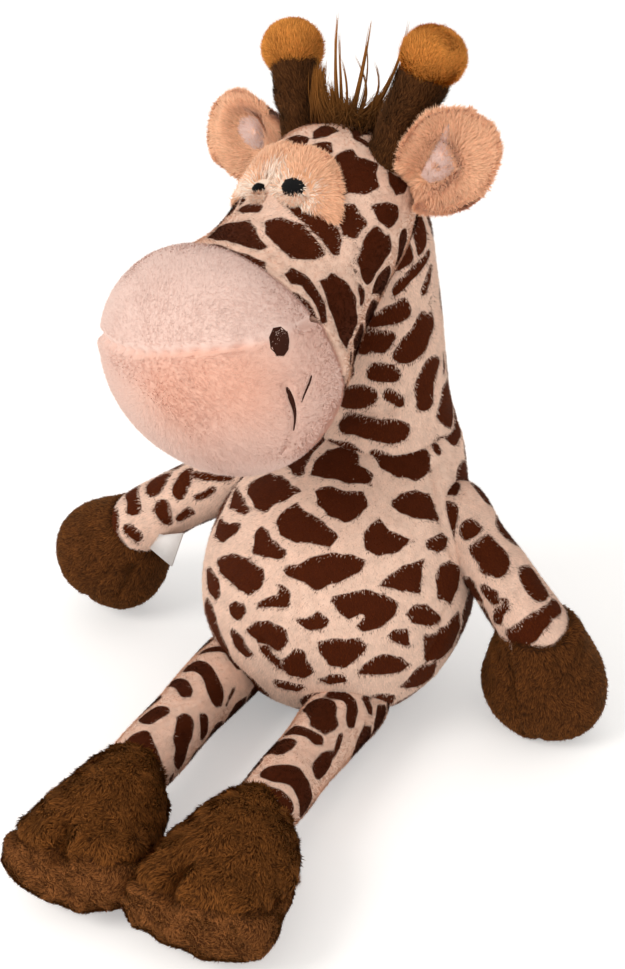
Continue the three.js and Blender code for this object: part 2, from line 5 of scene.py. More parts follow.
import bmesh
import bpy
import numpy as np
from mathutils import Euler, Matrix, Vector
from mathutils.bvhtree import BVHTree
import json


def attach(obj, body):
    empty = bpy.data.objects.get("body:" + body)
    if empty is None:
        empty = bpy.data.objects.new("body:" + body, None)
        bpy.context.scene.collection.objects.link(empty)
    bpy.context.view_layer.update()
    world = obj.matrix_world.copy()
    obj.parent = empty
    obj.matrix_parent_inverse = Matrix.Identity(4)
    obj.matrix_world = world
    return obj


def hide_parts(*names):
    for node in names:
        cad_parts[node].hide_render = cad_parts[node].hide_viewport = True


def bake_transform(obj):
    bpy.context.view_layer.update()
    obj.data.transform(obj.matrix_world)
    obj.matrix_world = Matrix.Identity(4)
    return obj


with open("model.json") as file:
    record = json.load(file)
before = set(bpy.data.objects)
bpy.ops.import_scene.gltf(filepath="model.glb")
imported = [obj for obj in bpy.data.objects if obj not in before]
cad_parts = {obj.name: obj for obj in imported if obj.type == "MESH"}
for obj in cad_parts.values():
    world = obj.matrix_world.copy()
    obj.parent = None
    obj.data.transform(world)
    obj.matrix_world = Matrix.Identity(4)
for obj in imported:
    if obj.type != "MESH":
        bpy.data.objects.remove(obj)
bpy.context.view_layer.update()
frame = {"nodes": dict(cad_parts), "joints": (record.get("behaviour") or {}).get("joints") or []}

MM = 0.001
PIVOT = {joint["name"]: Vector(joint["pos_m"]) / MM for joint in frame["joints"]}
SIDES = {"left": 1, "right": -1}
PILE_SHARE = 1.0
FLOOR_SKIM = 0.15  # the least height of a blade

# The photograph's camera
PHOTO_WIDE, PHOTO_HIGH = 625, 969
FOCAL_PX = 1773
CENTRE_PX = (324.2, 459.7)  # where the point that the camera is aimed at lies in the photograph
CAMERA_AZIMUTH, CAMERA_ELEVATION, CAMERA_FAR = 26, 30, 900
CAMERA_AIM = Vector((0, -15, 150))
SENSOR = 36
FLOOR_GLOW = 0.32  # what the camera sees of white paper beyond its own light

# Body. Rows are height, half width, half depth and set back, as shares of the sizes before them
BODY_WIDE, BODY_DEEP, BODY_HIGH, BODY_LEAN, BODY_SET_BACK = 74, 70, 152, 10, 36
BODY_SHARES = [
    (0.0, 0.16, 0.16, 0), (0.0, 0.31, 0.31, 0), (0.035, 0.5, 0.51, 0), (0.1, 0.7, 0.71, 0),
    (0.2, 0.87, 0.875, 0), (0.33, 0.98, 0.98, 0), (0.45, 1.01, 1.01, 0.03), (0.57, 0.985, 0.985, 0.1),
    (0.69, 0.91, 0.915, 0.25), (0.8, 0.8, 0.81, 0.47), (0.9, 0.665, 0.68, 0.73), (1.0, 0.53, 0.55, 1.0),
    (1.02, 0.4, 0.4, 1.0),
]
FILLING_SHARE, HEAD_FILLING_SHARE = 0.94, 0.84  # of a skin's sizes, for the filling inside

# Neck. Rows are height and radius, as shares of its length and its foot's radius
NECK_LENGTH, NECK_RADIUS = 95, 32.5
NECK_SHARES = [
    (-0.2, 0.9), (-0.17, 1.2), (-0.1, 1.19), (0.0, 1.08), (0.15, 1.01), (0.35, 0.95), (0.55, 0.87),
    (0.8, 0.77), (1.0, 0.72), (1.15, 0.6), (1.22, 0.35),
]

# Head: one centre line from the crown to the nose, steep at first
HEAD_TURN, HEAD_ROLL = -19, 9
CRANIUM_FORWARD, CRANIUM_UP, CRANIUM_RADIUS, CRANIUM_SLOPE = 34, 24, 40, 52
SNOUT_LENGTH, MUZZLE_SLOPE, SEAM_TO_MIDDLE = 98, 12, 22
MUZZLE_LENGTH, MUZZLE_WIDE, MUZZLE_HIGH = 47, 63.5, 55.5
CRANIUM_SHARES = [
    (-0.985, 0.16, 0.15, 0), (-0.94, 0.37, 0.34, 0), (-0.8, 0.64, 0.59, 0), (-0.55, 0.89, 0.82, 0),
    (-0.2, 1.06, 0.97, 0.01), (0.2, 1.12, 0.99, 0.04),
]
SNOUT_SHARES = [(0.24, 0.69, 0.675, 0.055), (0.4, 0.71, 0.69, 0.065), (0.54, 0.76, 0.745, 0.05),
                (0.66, 0.82, 0.82, 0.03)]
SEAM_SHARES = (0.885, 0.895, 0.01)
NOSE_SHARES = [
    (0.0, 1.01, 1.01, 0), (0.25, 0.995, 0.99, 0), (0.5, 0.915, 0.9, 0), (0.72, 0.755, 0.74, 0),
    (0.88, 0.53, 0.51, 0), (0.965, 0.3, 0.29, 0), (0.99, 0.14, 0.14, 0),
]
LIP_RAISE, MUZZLE_TWIST = 16, 10

# Horns, ears, eyes and tuft, about the head's pivot
HORN_SPREAD, HORN_OUT = {"left": 28, "right": 25.5}, {"left": 24, "right": 20}
HORN_FORWARD, HORN_UP, HORN_BACK, HORN_SINK = 25, 46, 19, 14
HORN_REACH = {"left": 54, "right": 51}
TIP_RADIUS, TIP_HIGH = 13.6, 11.4
EAR_SPREAD, EAR_FORWARD, EAR_UP = 45.5, 24, 36.5
EAR_LENGTH, EAR_WIDE, EAR_THICK, EAR_SINK = 47, {"left": 24.5, "right": 21.5}, 4, 9
EAR_RISE, EAR_SWEEP, EAR_OPEN = {"left": 31, "right": 35}, {"left": 12, "right": 30}, 14
EAR_ROLL_ROOT, EAR_ROLL_END, EAR_BACK_DEEP = 11, 30, 8
TUFT_SHIFT, TUFT_FORWARD, TUFT_UP, TUFT_LENGTH = 5, 26, 58, 66

# Arms and hands
ARM_RADII, ARM_LENGTH = (18, 17, 17.5, 18.5), 76
ARM_OUT, ARM_FORWARD = {"left": 45.5, "right": 52}, {"left": 15, "right": 23}
HAND_START, HAND_LENGTH, HAND_WIDE, HAND_THICK = {"left": -9, "right": 2}, {"left": 75, "right": 71}, 34, 27.5
HAND_LEAN = {"left": (13, -3), "right": (12, 38)}
HAND_SHARES = [
    (0.05, 0.38, 0.46), (0.0, 0.5, 0.62), (0.05, 0.57, 0.69), (0.16, 0.66, 0.76), (0.3, 0.81, 0.87),
    (0.5, 0.97, 0.98), (0.68, 1.0, 1.0), (0.84, 0.86, 0.88), (0.95, 0.55, 0.57), (0.99, 0.25, 0.25),
]

# Legs and feet
LEG_RADII, LEG_LENGTH = (20, 17.5, 16, 16.5), 104
LEG_TURN = {"left": 0.5, "right": 2}
FOOT_START, FOOT_LENGTH, FOOT_WIDE, FOOT_HIGH = 4, 80, {"left": 36, "right": 33}, 24
FOOT_FLARE = 0.17  # how much wider it is at the floor
CLEFT_SHIFT = {"left": -9, "right": -2}
FOOT_TURN = {"left": 3, "right": 4}
FOOT_SHARES = [  # ahead, half width, half height and how far the middle lies under the ankle
    (0.05, 0.34, 0.46), (0.0, 0.45, 0.64), (0.05, 0.49, 0.7), (0.14, 0.61, 0.8), (0.28, 0.78, 0.93),
    (0.45, 0.88, 1.0), (0.62, 0.95, 0.98), (0.78, 1.01, 0.93, 0.04), (0.9, 1.02, 0.84, 0.08),
    (0.975, 0.9, 0.66, 0.16), (1.0, 0.5, 0.34, 0.2),
]
SOLE_HEEL, SOLE_TOE = 13, 45

# Tail
TAIL_RADII, TAIL_LENGTH, TAIL_HANG = (5, 4.2, 4, 4), 34, 42
TAIL_TUFT_WIDE, TAIL_TUFT_LONG = 6.5, 11

# Label
LABEL_DOWN, LABEL_TURN, LABEL_ASIDE = (0.54, -0.24, -0.81), 42, 3  # it hangs edge on to the arm

# Spots: how far apart the unseen ones lie, and the cream line between two of them
SPOT_SPACING = 25
SPOT_GAP = 2.8
SPOT_GROWTH, SPOT_EDGE = 1.04, 0.4  # what a spot gains on its width in the photograph, as a share and in mm
PX_PER_MM = FOCAL_PX / CAMERA_FAR
SPOT_FADE = 1.3  # how fast a spot's edge turns dark, for each mm

# The spots that the photograph shows. A shape is the pixels of its corners. Each other spot is its width and then
# the pixels that its middle runs through
BODY_SHAPES_PX = [
    (328, 450, 346, 447, 359, 454, 359, 465, 372, 474, 372, 485, 343, 481, 311, 475, 315, 463),
    (372, 454, 400, 448, 420, 443, 429, 454, 430, 471, 418, 481, 396, 476, 381, 467),
    (249, 484, 269, 474, 281, 476, 293, 486, 300, 491, 287, 499, 274, 504, 267, 513, 256, 508, 248, 493),
    (221, 496, 237, 486, 244, 500, 250, 511, 243, 514, 230, 508),
    (315, 489, 330, 487, 346, 492, 363, 492, 368, 504, 359, 517, 344, 522, 331, 516, 318, 504),
    (391, 504, 400, 494, 418, 491, 429, 494, 434, 506, 439, 522, 420, 518, 400, 513),
    (277, 522, 281, 513, 296, 503, 307, 513, 326, 524, 338, 536, 330, 547, 315, 543, 296, 542, 281, 536),
    (212, 524, 220, 518, 230, 524, 241, 524, 237, 532, 224, 543, 215, 536),
    (254, 543, 255, 532, 261, 527, 268, 531, 271, 539, 281, 547, 287, 552, 280, 559, 265, 557, 253, 553),
    (364, 535, 370, 526, 379, 519, 387, 530, 402, 536, 414, 541, 396, 551, 378, 556, 366, 548),
    (424, 541, 442, 533, 448, 539, 446, 547, 438, 553, 427, 547),
    (217, 559, 233, 554, 248, 559, 263, 570, 265, 578, 261, 588, 249, 595, 233, 584, 220, 571),
    (281, 566, 296, 566, 311, 558, 329, 554, 352, 555, 365, 562, 361, 571, 346, 578, 329, 585, 317, 590,
     304, 582, 287, 575),
    (377, 583, 402, 568, 423, 559, 421, 576, 420, 593, 398, 590),
    (435, 578, 440, 565, 450, 561, 460, 567, 458, 587, 450, 604, 439, 598),
    (256, 607, 265, 598, 281, 595, 278, 583, 289, 591, 291, 607, 274, 607),
    (329, 598, 344, 594, 363, 590, 385, 595, 398, 602, 395, 615, 378, 628, 361, 632, 357, 626, 366, 617,
     363, 613, 348, 619, 339, 611),
    (229, 608, 235, 601, 244, 604, 247, 612, 239, 621, 231, 615),
    (293, 617, 307, 618, 318, 612, 328, 619, 324, 629, 313, 631, 302, 626),
    (406, 613, 415, 605, 427, 605, 434, 612, 441, 620, 430, 625, 413, 623),
    (247, 630, 256, 621, 270, 621, 285, 630, 288, 641, 280, 651, 265, 643, 252, 636),
    (387, 636, 396, 629, 407, 630, 411, 647, 398, 643),
    (318, 642, 333, 639, 359, 639, 367, 645, 359, 657, 344, 668, 329, 665, 321, 654),
    (230, 633, 233, 628, 243, 637, 248, 648, 254, 654, 246, 657, 235, 646),
    (283, 660, 296, 649, 304, 650, 308, 661, 314, 671, 304, 678, 289, 674, 277, 669),
    (357, 673, 370, 660, 383, 654, 402, 657, 409, 665, 402, 671, 381, 674),
    (422, 636, 440, 628, 458, 610, 460, 626, 452, 647, 439, 659, 426, 660),
    (317, 680, 329, 674, 344, 675, 348, 681, 333, 684), (257, 643, 267, 646, 274, 655, 282, 661, 280, 666, 268, 659),
    (272, 679, 289, 682, 307, 686, 296, 691, 278, 687), (400, 686, 418, 667, 436, 662, 448, 660, 431, 678, 407, 688),
    (207, 567, 211, 567, 219, 580, 221, 595, 215, 599, 209, 591),
    (287, 465, 293, 456, 311, 441, 326, 430, 330, 436, 311, 454, 306, 463, 302, 476, 293, 473),
]
BODY_SPOTS_PX = [(20, 450, 415, 451, 438), (9, 423, 428, 426, 440, 437, 452)]
HEAD_SHAPES_PX = [
    (328, 163, 336, 155, 351, 150, 358, 157, 377, 163, 375, 173, 379, 187, 366, 193, 338, 195, 336, 184),
    (283, 147, 287, 139, 299, 135, 309, 139, 305, 147, 297, 153, 283, 155),
    (307, 147, 317, 143, 330, 143, 332, 151, 323, 160, 313, 155),
    (313, 133, 322, 126, 334, 127, 338, 131, 326, 137, 315, 138),
    (350, 130, 358, 127, 373, 131, 371, 135, 358, 136, 371, 146, 366, 147, 354, 137),
    (380, 143, 391, 147, 399, 155, 403, 171, 399, 170, 387, 157, 380, 153),
    (387, 171, 395, 176, 407, 182, 405, 192, 396, 194, 390, 184),
    (373, 206, 387, 202, 397, 206, 399, 216, 389, 228, 379, 220, 375, 212),
    (338, 206, 354, 205, 367, 224, 356, 238, 344, 235, 338, 220),
    (284, 202, 299, 201, 318, 210, 333, 222, 341, 242, 340, 254, 334, 255, 322, 240, 308, 226, 294, 213),
    (264, 222, 281, 218, 301, 225, 315, 240, 325, 254, 315, 260, 290, 258, 274, 243, 266, 232),
    (238, 210, 248, 204, 263, 206, 260, 211, 244, 213),
    (208, 238, 219, 227, 234, 223, 250, 221, 256, 233, 267, 247, 258, 250, 237, 244, 221, 240),
    (210, 244, 224, 247, 246, 255, 265, 263, 267, 273, 256, 270, 237, 259, 217, 250),
    (285, 275, 293, 269, 304, 274, 315, 287, 324, 303, 327, 321, 322, 322, 317, 305, 302, 285, 291, 283),
    (286, 291, 298, 294, 309, 303, 316, 317, 309, 313, 300, 305),
    (321, 281, 332, 275, 344, 279, 356, 300, 357, 324, 346, 348, 339, 338, 330, 309),
]
NECK_SPOTS_PX = [
    (15, 419, 222, 420, 246), (12, 426, 254, 412, 275, 398, 291), (6, 430, 268, 426, 294),
    (17, 375, 320, 388, 314, 402, 308), (26, 407, 351, 418, 338, 427, 323), (24, 364, 345, 384, 342),
    (20, 378, 374, 391, 375), (22, 432, 366, 427, 382, 428, 398), (8, 351, 369, 352, 374),
    (22, 345, 399, 364, 397), (10, 387, 398, 400, 402), (24, 348, 424, 374, 428, 398, 430),
    (6, 443, 352, 444, 372), (7, 432, 300, 430, 310), (18, 300, 444, 322, 436),
]
HEAD_SPOTS_PX = [
    (27, 377, 246, 366, 270), (7, 356, 268, 361, 300), (14, 402, 240, 399, 258), (13, 384, 290, 369, 307),
    (4, 350, 354, 345, 375, 337, 399), (9, 398, 300, 392, 312),
]
ARM_SPOTS_PX = {
    "left": [
        (28, 455, 472, 468, 490), (15, 494, 500, 500, 512), (20, 470, 527, 477, 535), (28, 484, 546, 497, 562),
        (12, 517, 525, 530, 550), (25, 530, 575, 537, 588), (13, 486, 590, 496, 598), (10, 503, 602, 498, 622),
        (21, 517, 637, 535, 623, 554, 605), (9, 473, 572, 476, 600),
    ],
    "right": [
        (11, 151, 473, 152, 485), (17, 134, 490, 134, 508), (7, 165, 467, 169, 468), (19, 187, 479, 180, 491),
        (20, 162, 508, 168, 516), (12, 128, 530, 137, 537), (7, 198, 475, 230, 478), (7, 200, 497, 212, 490),
        (10, 180, 516, 192, 512),
    ],
}
LEG_SPOTS_PX = {
    "left": [
        (26, 301, 705, 318, 706, 325, 719), (13, 332, 693, 350, 702, 352, 723), (8, 365, 700, 370, 712),
        (14, 362, 682, 376, 694), (15, 289, 732, 301, 730, 317, 738), (8, 269, 730, 264, 746),
        (27, 277, 772, 295, 775, 306, 804), (15, 326, 755, 317, 768), (6, 342, 734, 337, 748),
        (18, 245, 798, 265, 793, 285, 811), (6, 250, 765, 251, 767), (12, 395, 686, 398, 687),
    ],
    "right": [
        (9, 203, 652, 220, 648, 238, 663), (18, 193, 666, 210, 675, 217, 694), (14, 160, 692, 176, 681, 186, 691),
        (22, 149, 718, 160, 711), (18, 125, 749, 142, 738, 154, 765), (15, 187, 722, 183, 742, 178, 762),
        (12, 204, 718, 203, 735), (4, 234, 688, 226, 704), (5, 127, 729, 136, 722), (5, 171, 776, 171, 780),
    ],
}

# Seams, creases and wisps that the photograph shows, as the pixels that they run through
SIDE_SEAM_PX = [(400, 410), (433, 470), (440, 520), (455, 560)]
DARTS_PX = [[(262, 640), (276, 660), (284, 676)], [(446, 612), (438, 640), (428, 656)]]
COLLAR_PX = [(340, 418), (362, 412), (392, 410)]
HAND_SEAM_PX = {
    "left": [(511, 640), (512, 660), (514, 685), (518, 708), (524, 732)],
    "right": [(146, 540), (140, 554), (130, 576), (120, 592), (112, 606)],
}
LIP_SEAM_PX = [(104, 338), (112, 346), (128, 351), (145, 354), (168, 353), (191, 351), (214, 350), (237, 347),
               (262, 342)]
BLUSH_PX = [(175, 395), (205, 385), (235, 385)]
MOUTH_PX = [(286, 386), (292, 402), (295, 416), (293, 430), (288, 453)]
MOUTH_STITCH_PX = [(286, 387), (288, 391), (291, 399), (294, 408), (295, 418), (293, 430)]
MOUTH_STITCH_RADII = [0.5, 1.3, 1.5, 1.0, 0.6, 0.4]
NOSTRIL_PX = [(289, 341), (288, 331), (281, 326), (273, 328), (269, 337), (270, 349), (276, 357), (284, 356),
              (288, 350)]
PATCH_PX = [(338, 190), (335, 173), (326, 160), (311, 152), (295, 151), (283, 156), (277, 167), (275, 181),
            (277, 193), (288, 200), (299, 203), (311, 209), (323, 217), (334, 222), (339, 207)]
PUPIL_PX = [(308, 189), (305, 183), (296, 179.5), (287, 182), (283, 189), (285, 197), (295, 200), (305, 197)]
LID_PX = [(309, 199), (304, 196.5), (295, 197.5), (286, 196), (281, 196), (283, 202), (294, 205), (304, 204)]
FAR_PUPIL_PX = [(266, 186), (263, 185), (259, 188), (256, 193), (258, 196), (261, 195), (264, 191)]
FAR_LID_PX = [(266, 195), (261, 195), (255, 195), (250, 198), (254, 202), (262, 201)]
PALE_PX = [(276, 176), (280, 192), (292, 199), (303, 198)]
CHEEK_PX = [(311, 375), (309, 383), (305, 391), (301, 402)]
CHEEK_STITCH_RADII = [0.4, 0.6, 0.5, 0.3]
LINING_PX = {
    "left": [(456, 168), (453, 158), (448, 147), (449, 134), (449, 126), (446, 127), (441, 138), (437, 150),
             (430, 162), (424, 174), (432, 181), (444, 178)],
    "right": [(266, 134), (262, 122), (252, 116), (243, 119), (241, 130), (246, 142), (256, 148), (265, 146)],
}
WISPS_PX = [  # width in mm, strands, and the pixels of the root, the middle and the tip
    (1.3, 34, (338, 114), (333, 62), (338, 12)), (1.1, 14, (342, 116), (341, 70), (339, 30)),
    (1.3, 28, (352, 116), (364, 66), (371, 20)), (0.9, 10, (356, 118), (372, 80), (366, 40)),
    (1.5, 34, (366, 118), (396, 84), (409, 22)), (0.9, 12, (345, 112), (350, 84), (341, 58)),
    (0.9, 10, (358, 114), (376, 92), (355, 54)), (1.1, 16, (362, 116), (388, 92), (374, 60)),
    (5.0, 300, (329, 124), (316, 96), (322, 62)), (4.0, 160, (323, 118), (313, 88), (317, 68)),
    (9.0, 620, (350, 127), (350, 116), (346, 103)), (7.0, 380, (366, 125), (374, 111), (384, 94)),
    (4.0, 110, (334, 122), (334, 106), (330, 82)), (3.0, 60, (348, 120), (354, 106), (358, 92)),
]


def srgb(code):
    """A hex colour as the linear colour that a shader takes."""
    values = [int(code[i:i + 2], 16) / 255 for i in (1, 3, 5)]
    return [v / 12.92 if v <= 0.04045 else ((v + 0.055) / 1.055) ** 2.4 for v in values] + [1.0]


def placed(at, order, *degrees):
    """A place: turned about the axes in that order, then moved."""
    return Matrix.Translation(at) @ Euler([math.radians(d) for d in degrees], order).to_matrix().to_4x4()


def numbers(matrix):
    return np.array(matrix)


def moved(points, matrix):
    m = numbers(matrix)
    return points @ m[:3, :3].T + m[:3, 3]


def unit(vectors):
    return vectors / np.maximum(np.linalg.norm(vectors, axis=1, keepdims=True), 1e-9)


# Camera and rays
back_way = Vector((
    math.sin(math.radians(CAMERA_AZIMUTH)) * math.cos(math.radians(CAMERA_ELEVATION)),
    -math.cos(math.radians(CAMERA_AZIMUTH)) * math.cos(math.radians(CAMERA_ELEVATION)),
    math.sin(math.radians(CAMERA_ELEVATION)),
))
camera_at = CAMERA_AIM + back_way * CAMERA_FAR
right_way = Vector((0, 0, 1)).cross(back_way).normalized()
up_way = back_way.cross(right_way)


def pixel_ray(px, py):
    """The direction from the camera through a pixel of the photograph."""
    across, up = (px - CENTRE_PX[0]) / FOCAL_PX, (CENTRE_PX[1] - py) / FOCAL_PX
    return (right_way * across + up_way * up - back_way).normalized()


def ripple(points, size, seed):
    """A smooth random field, mostly between -1 and 1, whose humps are about that size."""
    rng = np.random.default_rng(seed)
    waves = 10
    total = np.zeros(len(points))
    for _ in range(waves):
        way = rng.normal(size=3)
        way *= math.pi / size * rng.uniform(0.6, 1.4) / np.linalg.norm(way)
        total += np.sin(points @ way + rng.uniform(0, 2 * math.pi))
    return total / math.sqrt(waves)


def ripples(points, size, seed):
    return np.stack([ripple(points, size, seed + k) for k in range(3)], axis=1)


def loft(rings, around):
    """A closed form through rings, each a place that a unit circle is stretched to."""
    form = bmesh.new()
    edges = []
    last = None
    for ring in rings:
        if last is None:
            bmesh.ops.create_circle(form, segments=around, radius=1, matrix=ring)
            edges = list(form.edges)
            first = edges
        else:
            grown = bmesh.ops.extrude_edge_only(form, edges=edges)["geom"]
            corners = {v for v in grown if isinstance(v, bmesh.types.BMVert)}
            bmesh.ops.transform(form, matrix=ring @ last.inverted(), verts=list(corners))
            edges = [e for e in grown if isinstance(e, bmesh.types.BMEdge) and set(e.verts) <= corners]
        last = ring
    for rim in (first, edges):
        cap = bmesh.ops.edgeloop_fill(form, edges=rim)["faces"]
        bmesh.ops.poke(form, faces=cap)
    bmesh.ops.recalc_face_normals(form, faces=form.faces)
    return form


def ring(at, across, up, wide, high):
    """The place of an elliptical ring."""
    along = across.cross(up)
    matrix = Matrix((across * wide, up * high, along)).transposed().to_4x4()
    return Matrix.Translation(at) @ matrix


def linked(name, mesh):
    piece = bpy.data.objects.new(name, mesh)
    bpy.context.scene.collection.objects.link(piece)
    return piece


class Skin:
    """A form's surface while it is being shaped: points, outward directions and faces."""

    def __init__(self, name, form, place=None, levels=3):
        self.name = name + "_plush"
        mesh = bpy.data.meshes.new(name + "_form")
        form.to_mesh(mesh)
        form.free()
        cage = linked(name + "_cage", mesh)
        if levels:
            smooth = cage.modifiers.new("smooth", "SUBSURF")
            smooth.levels = smooth.render_levels = levels
        seen = cage.evaluated_get(bpy.context.evaluated_depsgraph_get())
        self.mesh = bpy.data.meshes.new_from_object(seen)
        bpy.data.objects.remove(cage)
        points = np.empty(len(self.mesh.vertices) * 3)
        self.mesh.vertices.foreach_get("co", points)
        self.local = points.reshape(-1, 3)
        self.faces = [tuple(face.vertices) for face in self.mesh.polygons]
        self.place = place or Matrix()
        self.points = moved(self.local, self.place)
        self.refresh()

    def refresh(self):
        self.mesh.vertices.foreach_set("co", self.points.ravel())
        self.mesh.update()
        normals = np.empty(len(self.points) * 3)
        self.mesh.vertex_normals.foreach_get("vector", normals)
        self.normals = normals.reshape(-1, 3)

    def push(self, amount):
        """Moves each point outwards by its amount."""
        self.points = self.points + self.normals * np.reshape(amount, (-1, 1))
        self.refresh()

    def groove(self, distance, wide, deep):
        self.push(-np.ravel(deep) * np.exp(-(distance / wide) ** 2))

    def lumps(self, size, high, seed):
        self.push(high * ripple(self.points, size, seed))

    def flatten(self, level=0.4):
        """Rests the form on the floor, with a rounded edge."""
        z = self.points[:, 2]
        self.points[:, 2] = np.where(z < level + 4, level + 4 * np.exp((z - level - 4) / 4), z)
        self.points[:, 2] = np.maximum(self.points[:, 2], level)
        self.refresh()

    def tree(self):
        return BVHTree.FromPolygons([tuple(p) for p in self.points], self.faces)

    def hit(self, pixels):
        """The points of the skin under some pixels of the photograph."""
        tree = self.tree()
        found = []
        for px, py in pixels:
            at = tree.ray_cast(camera_at, pixel_ray(px, py))[0]
            if at is not None:
                found.append(at)
        return np.array(found).reshape(-1, 3)


def nearest_on(points, path):
    """The distance from each point to a line through some places, and the unit way there and back."""
    best = np.full(len(points), np.inf)
    ways = np.zeros_like(points)
    for a, b in zip(path[:-1], path[1:]):
        along = b - a
        share = np.clip((points - a) @ along / max(along @ along, 1e-9), 0, 1)
        off = points - a - share[:, None] * along
        distance = np.linalg.norm(off, axis=1)
        closer = distance < best
        best[closer] = distance[closer]
        ways[closer] = off[closer]
    return best, ways / np.maximum(best, 1e-6)[:, None]


def scatter(points, spacing, seed):
    """Places spread over a surface, some closer together than others."""
    rng = np.random.default_rng(seed)
    chosen = np.empty((0, 3))
    for i in rng.permutation(len(points)):
        reach = spacing * rng.uniform(0.72, 1.12)
        if not len(chosen) or np.linalg.norm(chosen - points[i], axis=1).min() > reach:
            chosen = np.vstack([chosen, points[i]])
    return chosen


def spot_depth(points, spots, gap, seed):
    """How deep each point lies inside its spot, negative in the cream lines between the spots."""
    corner = 0.45  # how round the corners are
    bent = points + 1.1 * ripples(points, 13, seed) + 0.45 * ripples(points, 5, seed + 5)
    fields = [nearest_on(bent, path) for path, _, _ in spots]
    reaches = np.array([reach for _, reach, _ in spots])
    slack = np.array([slack for _, _, slack in spots])
    scores = np.stack([near for near, _ in fields]) - reaches[:, None]
    ways = np.stack([way for _, way in fields])
    rows = np.arange(len(points))
    own = scores.argmin(axis=0)
    own_score, own_way = scores[own, rows], ways[own, rows]
    total = np.exp(-np.clip(slack[own] - own_score, -20, 60) / corner)
    for index, (score, way) in enumerate(zip(scores, ways)):
        apart = np.maximum(np.linalg.norm(way - own_way, axis=1), 0.25)
        edge = (score - own_score) / apart - gap / 2
        edge[own == index] = 60
        total += np.exp(-np.clip(edge, -20, 60) / corner)
    return -corner * np.log(total) + corner * 0.4


def within(points, corners):
    """How deep each point lies within the outline through some corners, negative outside it."""
    middle = corners.mean(axis=0)
    axes = np.linalg.svd(corners - middle)[2]
    flat, rim = (points - middle) @ axes.T, ((corners - middle) @ axes.T)[:, :2]
    along = np.roll(rim, -1, axis=0) - rim
    off = flat[:, None, :2] - rim
    share = np.clip((off * along).sum(axis=2) / np.maximum((along ** 2).sum(axis=1), 1e-6), 0, 1)
    edge = np.linalg.norm(off - share[:, :, None] * along, axis=2).min(axis=1)
    passes = (off[:, :, 1] < 0) != (off[:, :, 1] < along[:, 1])
    slope = along[:, 0] / np.where(np.abs(along[:, 1]) < 1e-9, 1e-9, along[:, 1])
    crossed = (passes & (off[:, :, 0] < off[:, :, 1] * slope)).sum(axis=1) % 2
    return np.where(crossed == 1, edge, -edge) - np.maximum(np.abs(flat[:, 2]) - 12, 0)


def spotted(skin, spacing, seed, listed=(), gap=SPOT_GAP, shapes=()):
    """The depth of the spots over a skin: the ones that the photograph shows, and others where it shows none."""
    rng = np.random.default_rng(seed)
    spots = []
    for width, *pixels in listed:
        path = skin.hit(zip(pixels[::2], pixels[1::2]))
        if len(path) > 1:
            spots.append((path, width / 2 / PX_PER_MM * SPOT_GROWTH, SPOT_EDGE))
    shown = list(spots)
    ragged = skin.points + 0.4 * ripples(skin.points, 4, seed + 9)
    drawn = np.full(len(skin.points), -60.0)
    outlines = [skin.hit(zip(pixels[::2], pixels[1::2])) for pixels in shapes]
    for corners in outlines:
        if len(corners) > 3:
            drawn = np.maximum(drawn, within(ragged, corners) + SPOT_EDGE)
    places = scatter(skin.points, spacing, seed)
    for place in places:
        near = min((nearest_on(place[None], path)[0][0] - reach for path, reach, _ in shown), default=spacing)
        near = min([near] + [-within(place[None], corners)[0] for corners in outlines if len(corners) > 3])
        if near > spacing * 0.42:
            way = rng.normal(size=3)
            way *= spacing * rng.uniform(0.02, 0.3) / np.linalg.norm(way)
            spots.append((np.array([place - way, place + way]), spacing * rng.uniform(0.2, 0.34), spacing * 0.25))
    return np.maximum(drawn, np.minimum(spot_depth(skin.points, spots, gap, seed), -drawn - gap))


def charts(points, ways):
    """A map for the bake: each face goes to the chart that its outward direction points at."""
    low, high = points.min(axis=0), points.max(axis=0)
    size = np.maximum(high - low, 1e-6)
    unit_points = (points - low) / size * 0.96 + 0.02
    axis = np.abs(ways).argmax(axis=1)
    sign = ways[np.arange(len(ways)), axis] > 0
    across, up = np.array([1, 0, 0])[axis], np.array([2, 2, 1])[axis]
    rows = np.arange(len(points))
    u = (unit_points[rows, across] + axis) / 3
    v = (unit_points[rows, up] + sign) / 2
    return np.stack([u, v], axis=1)


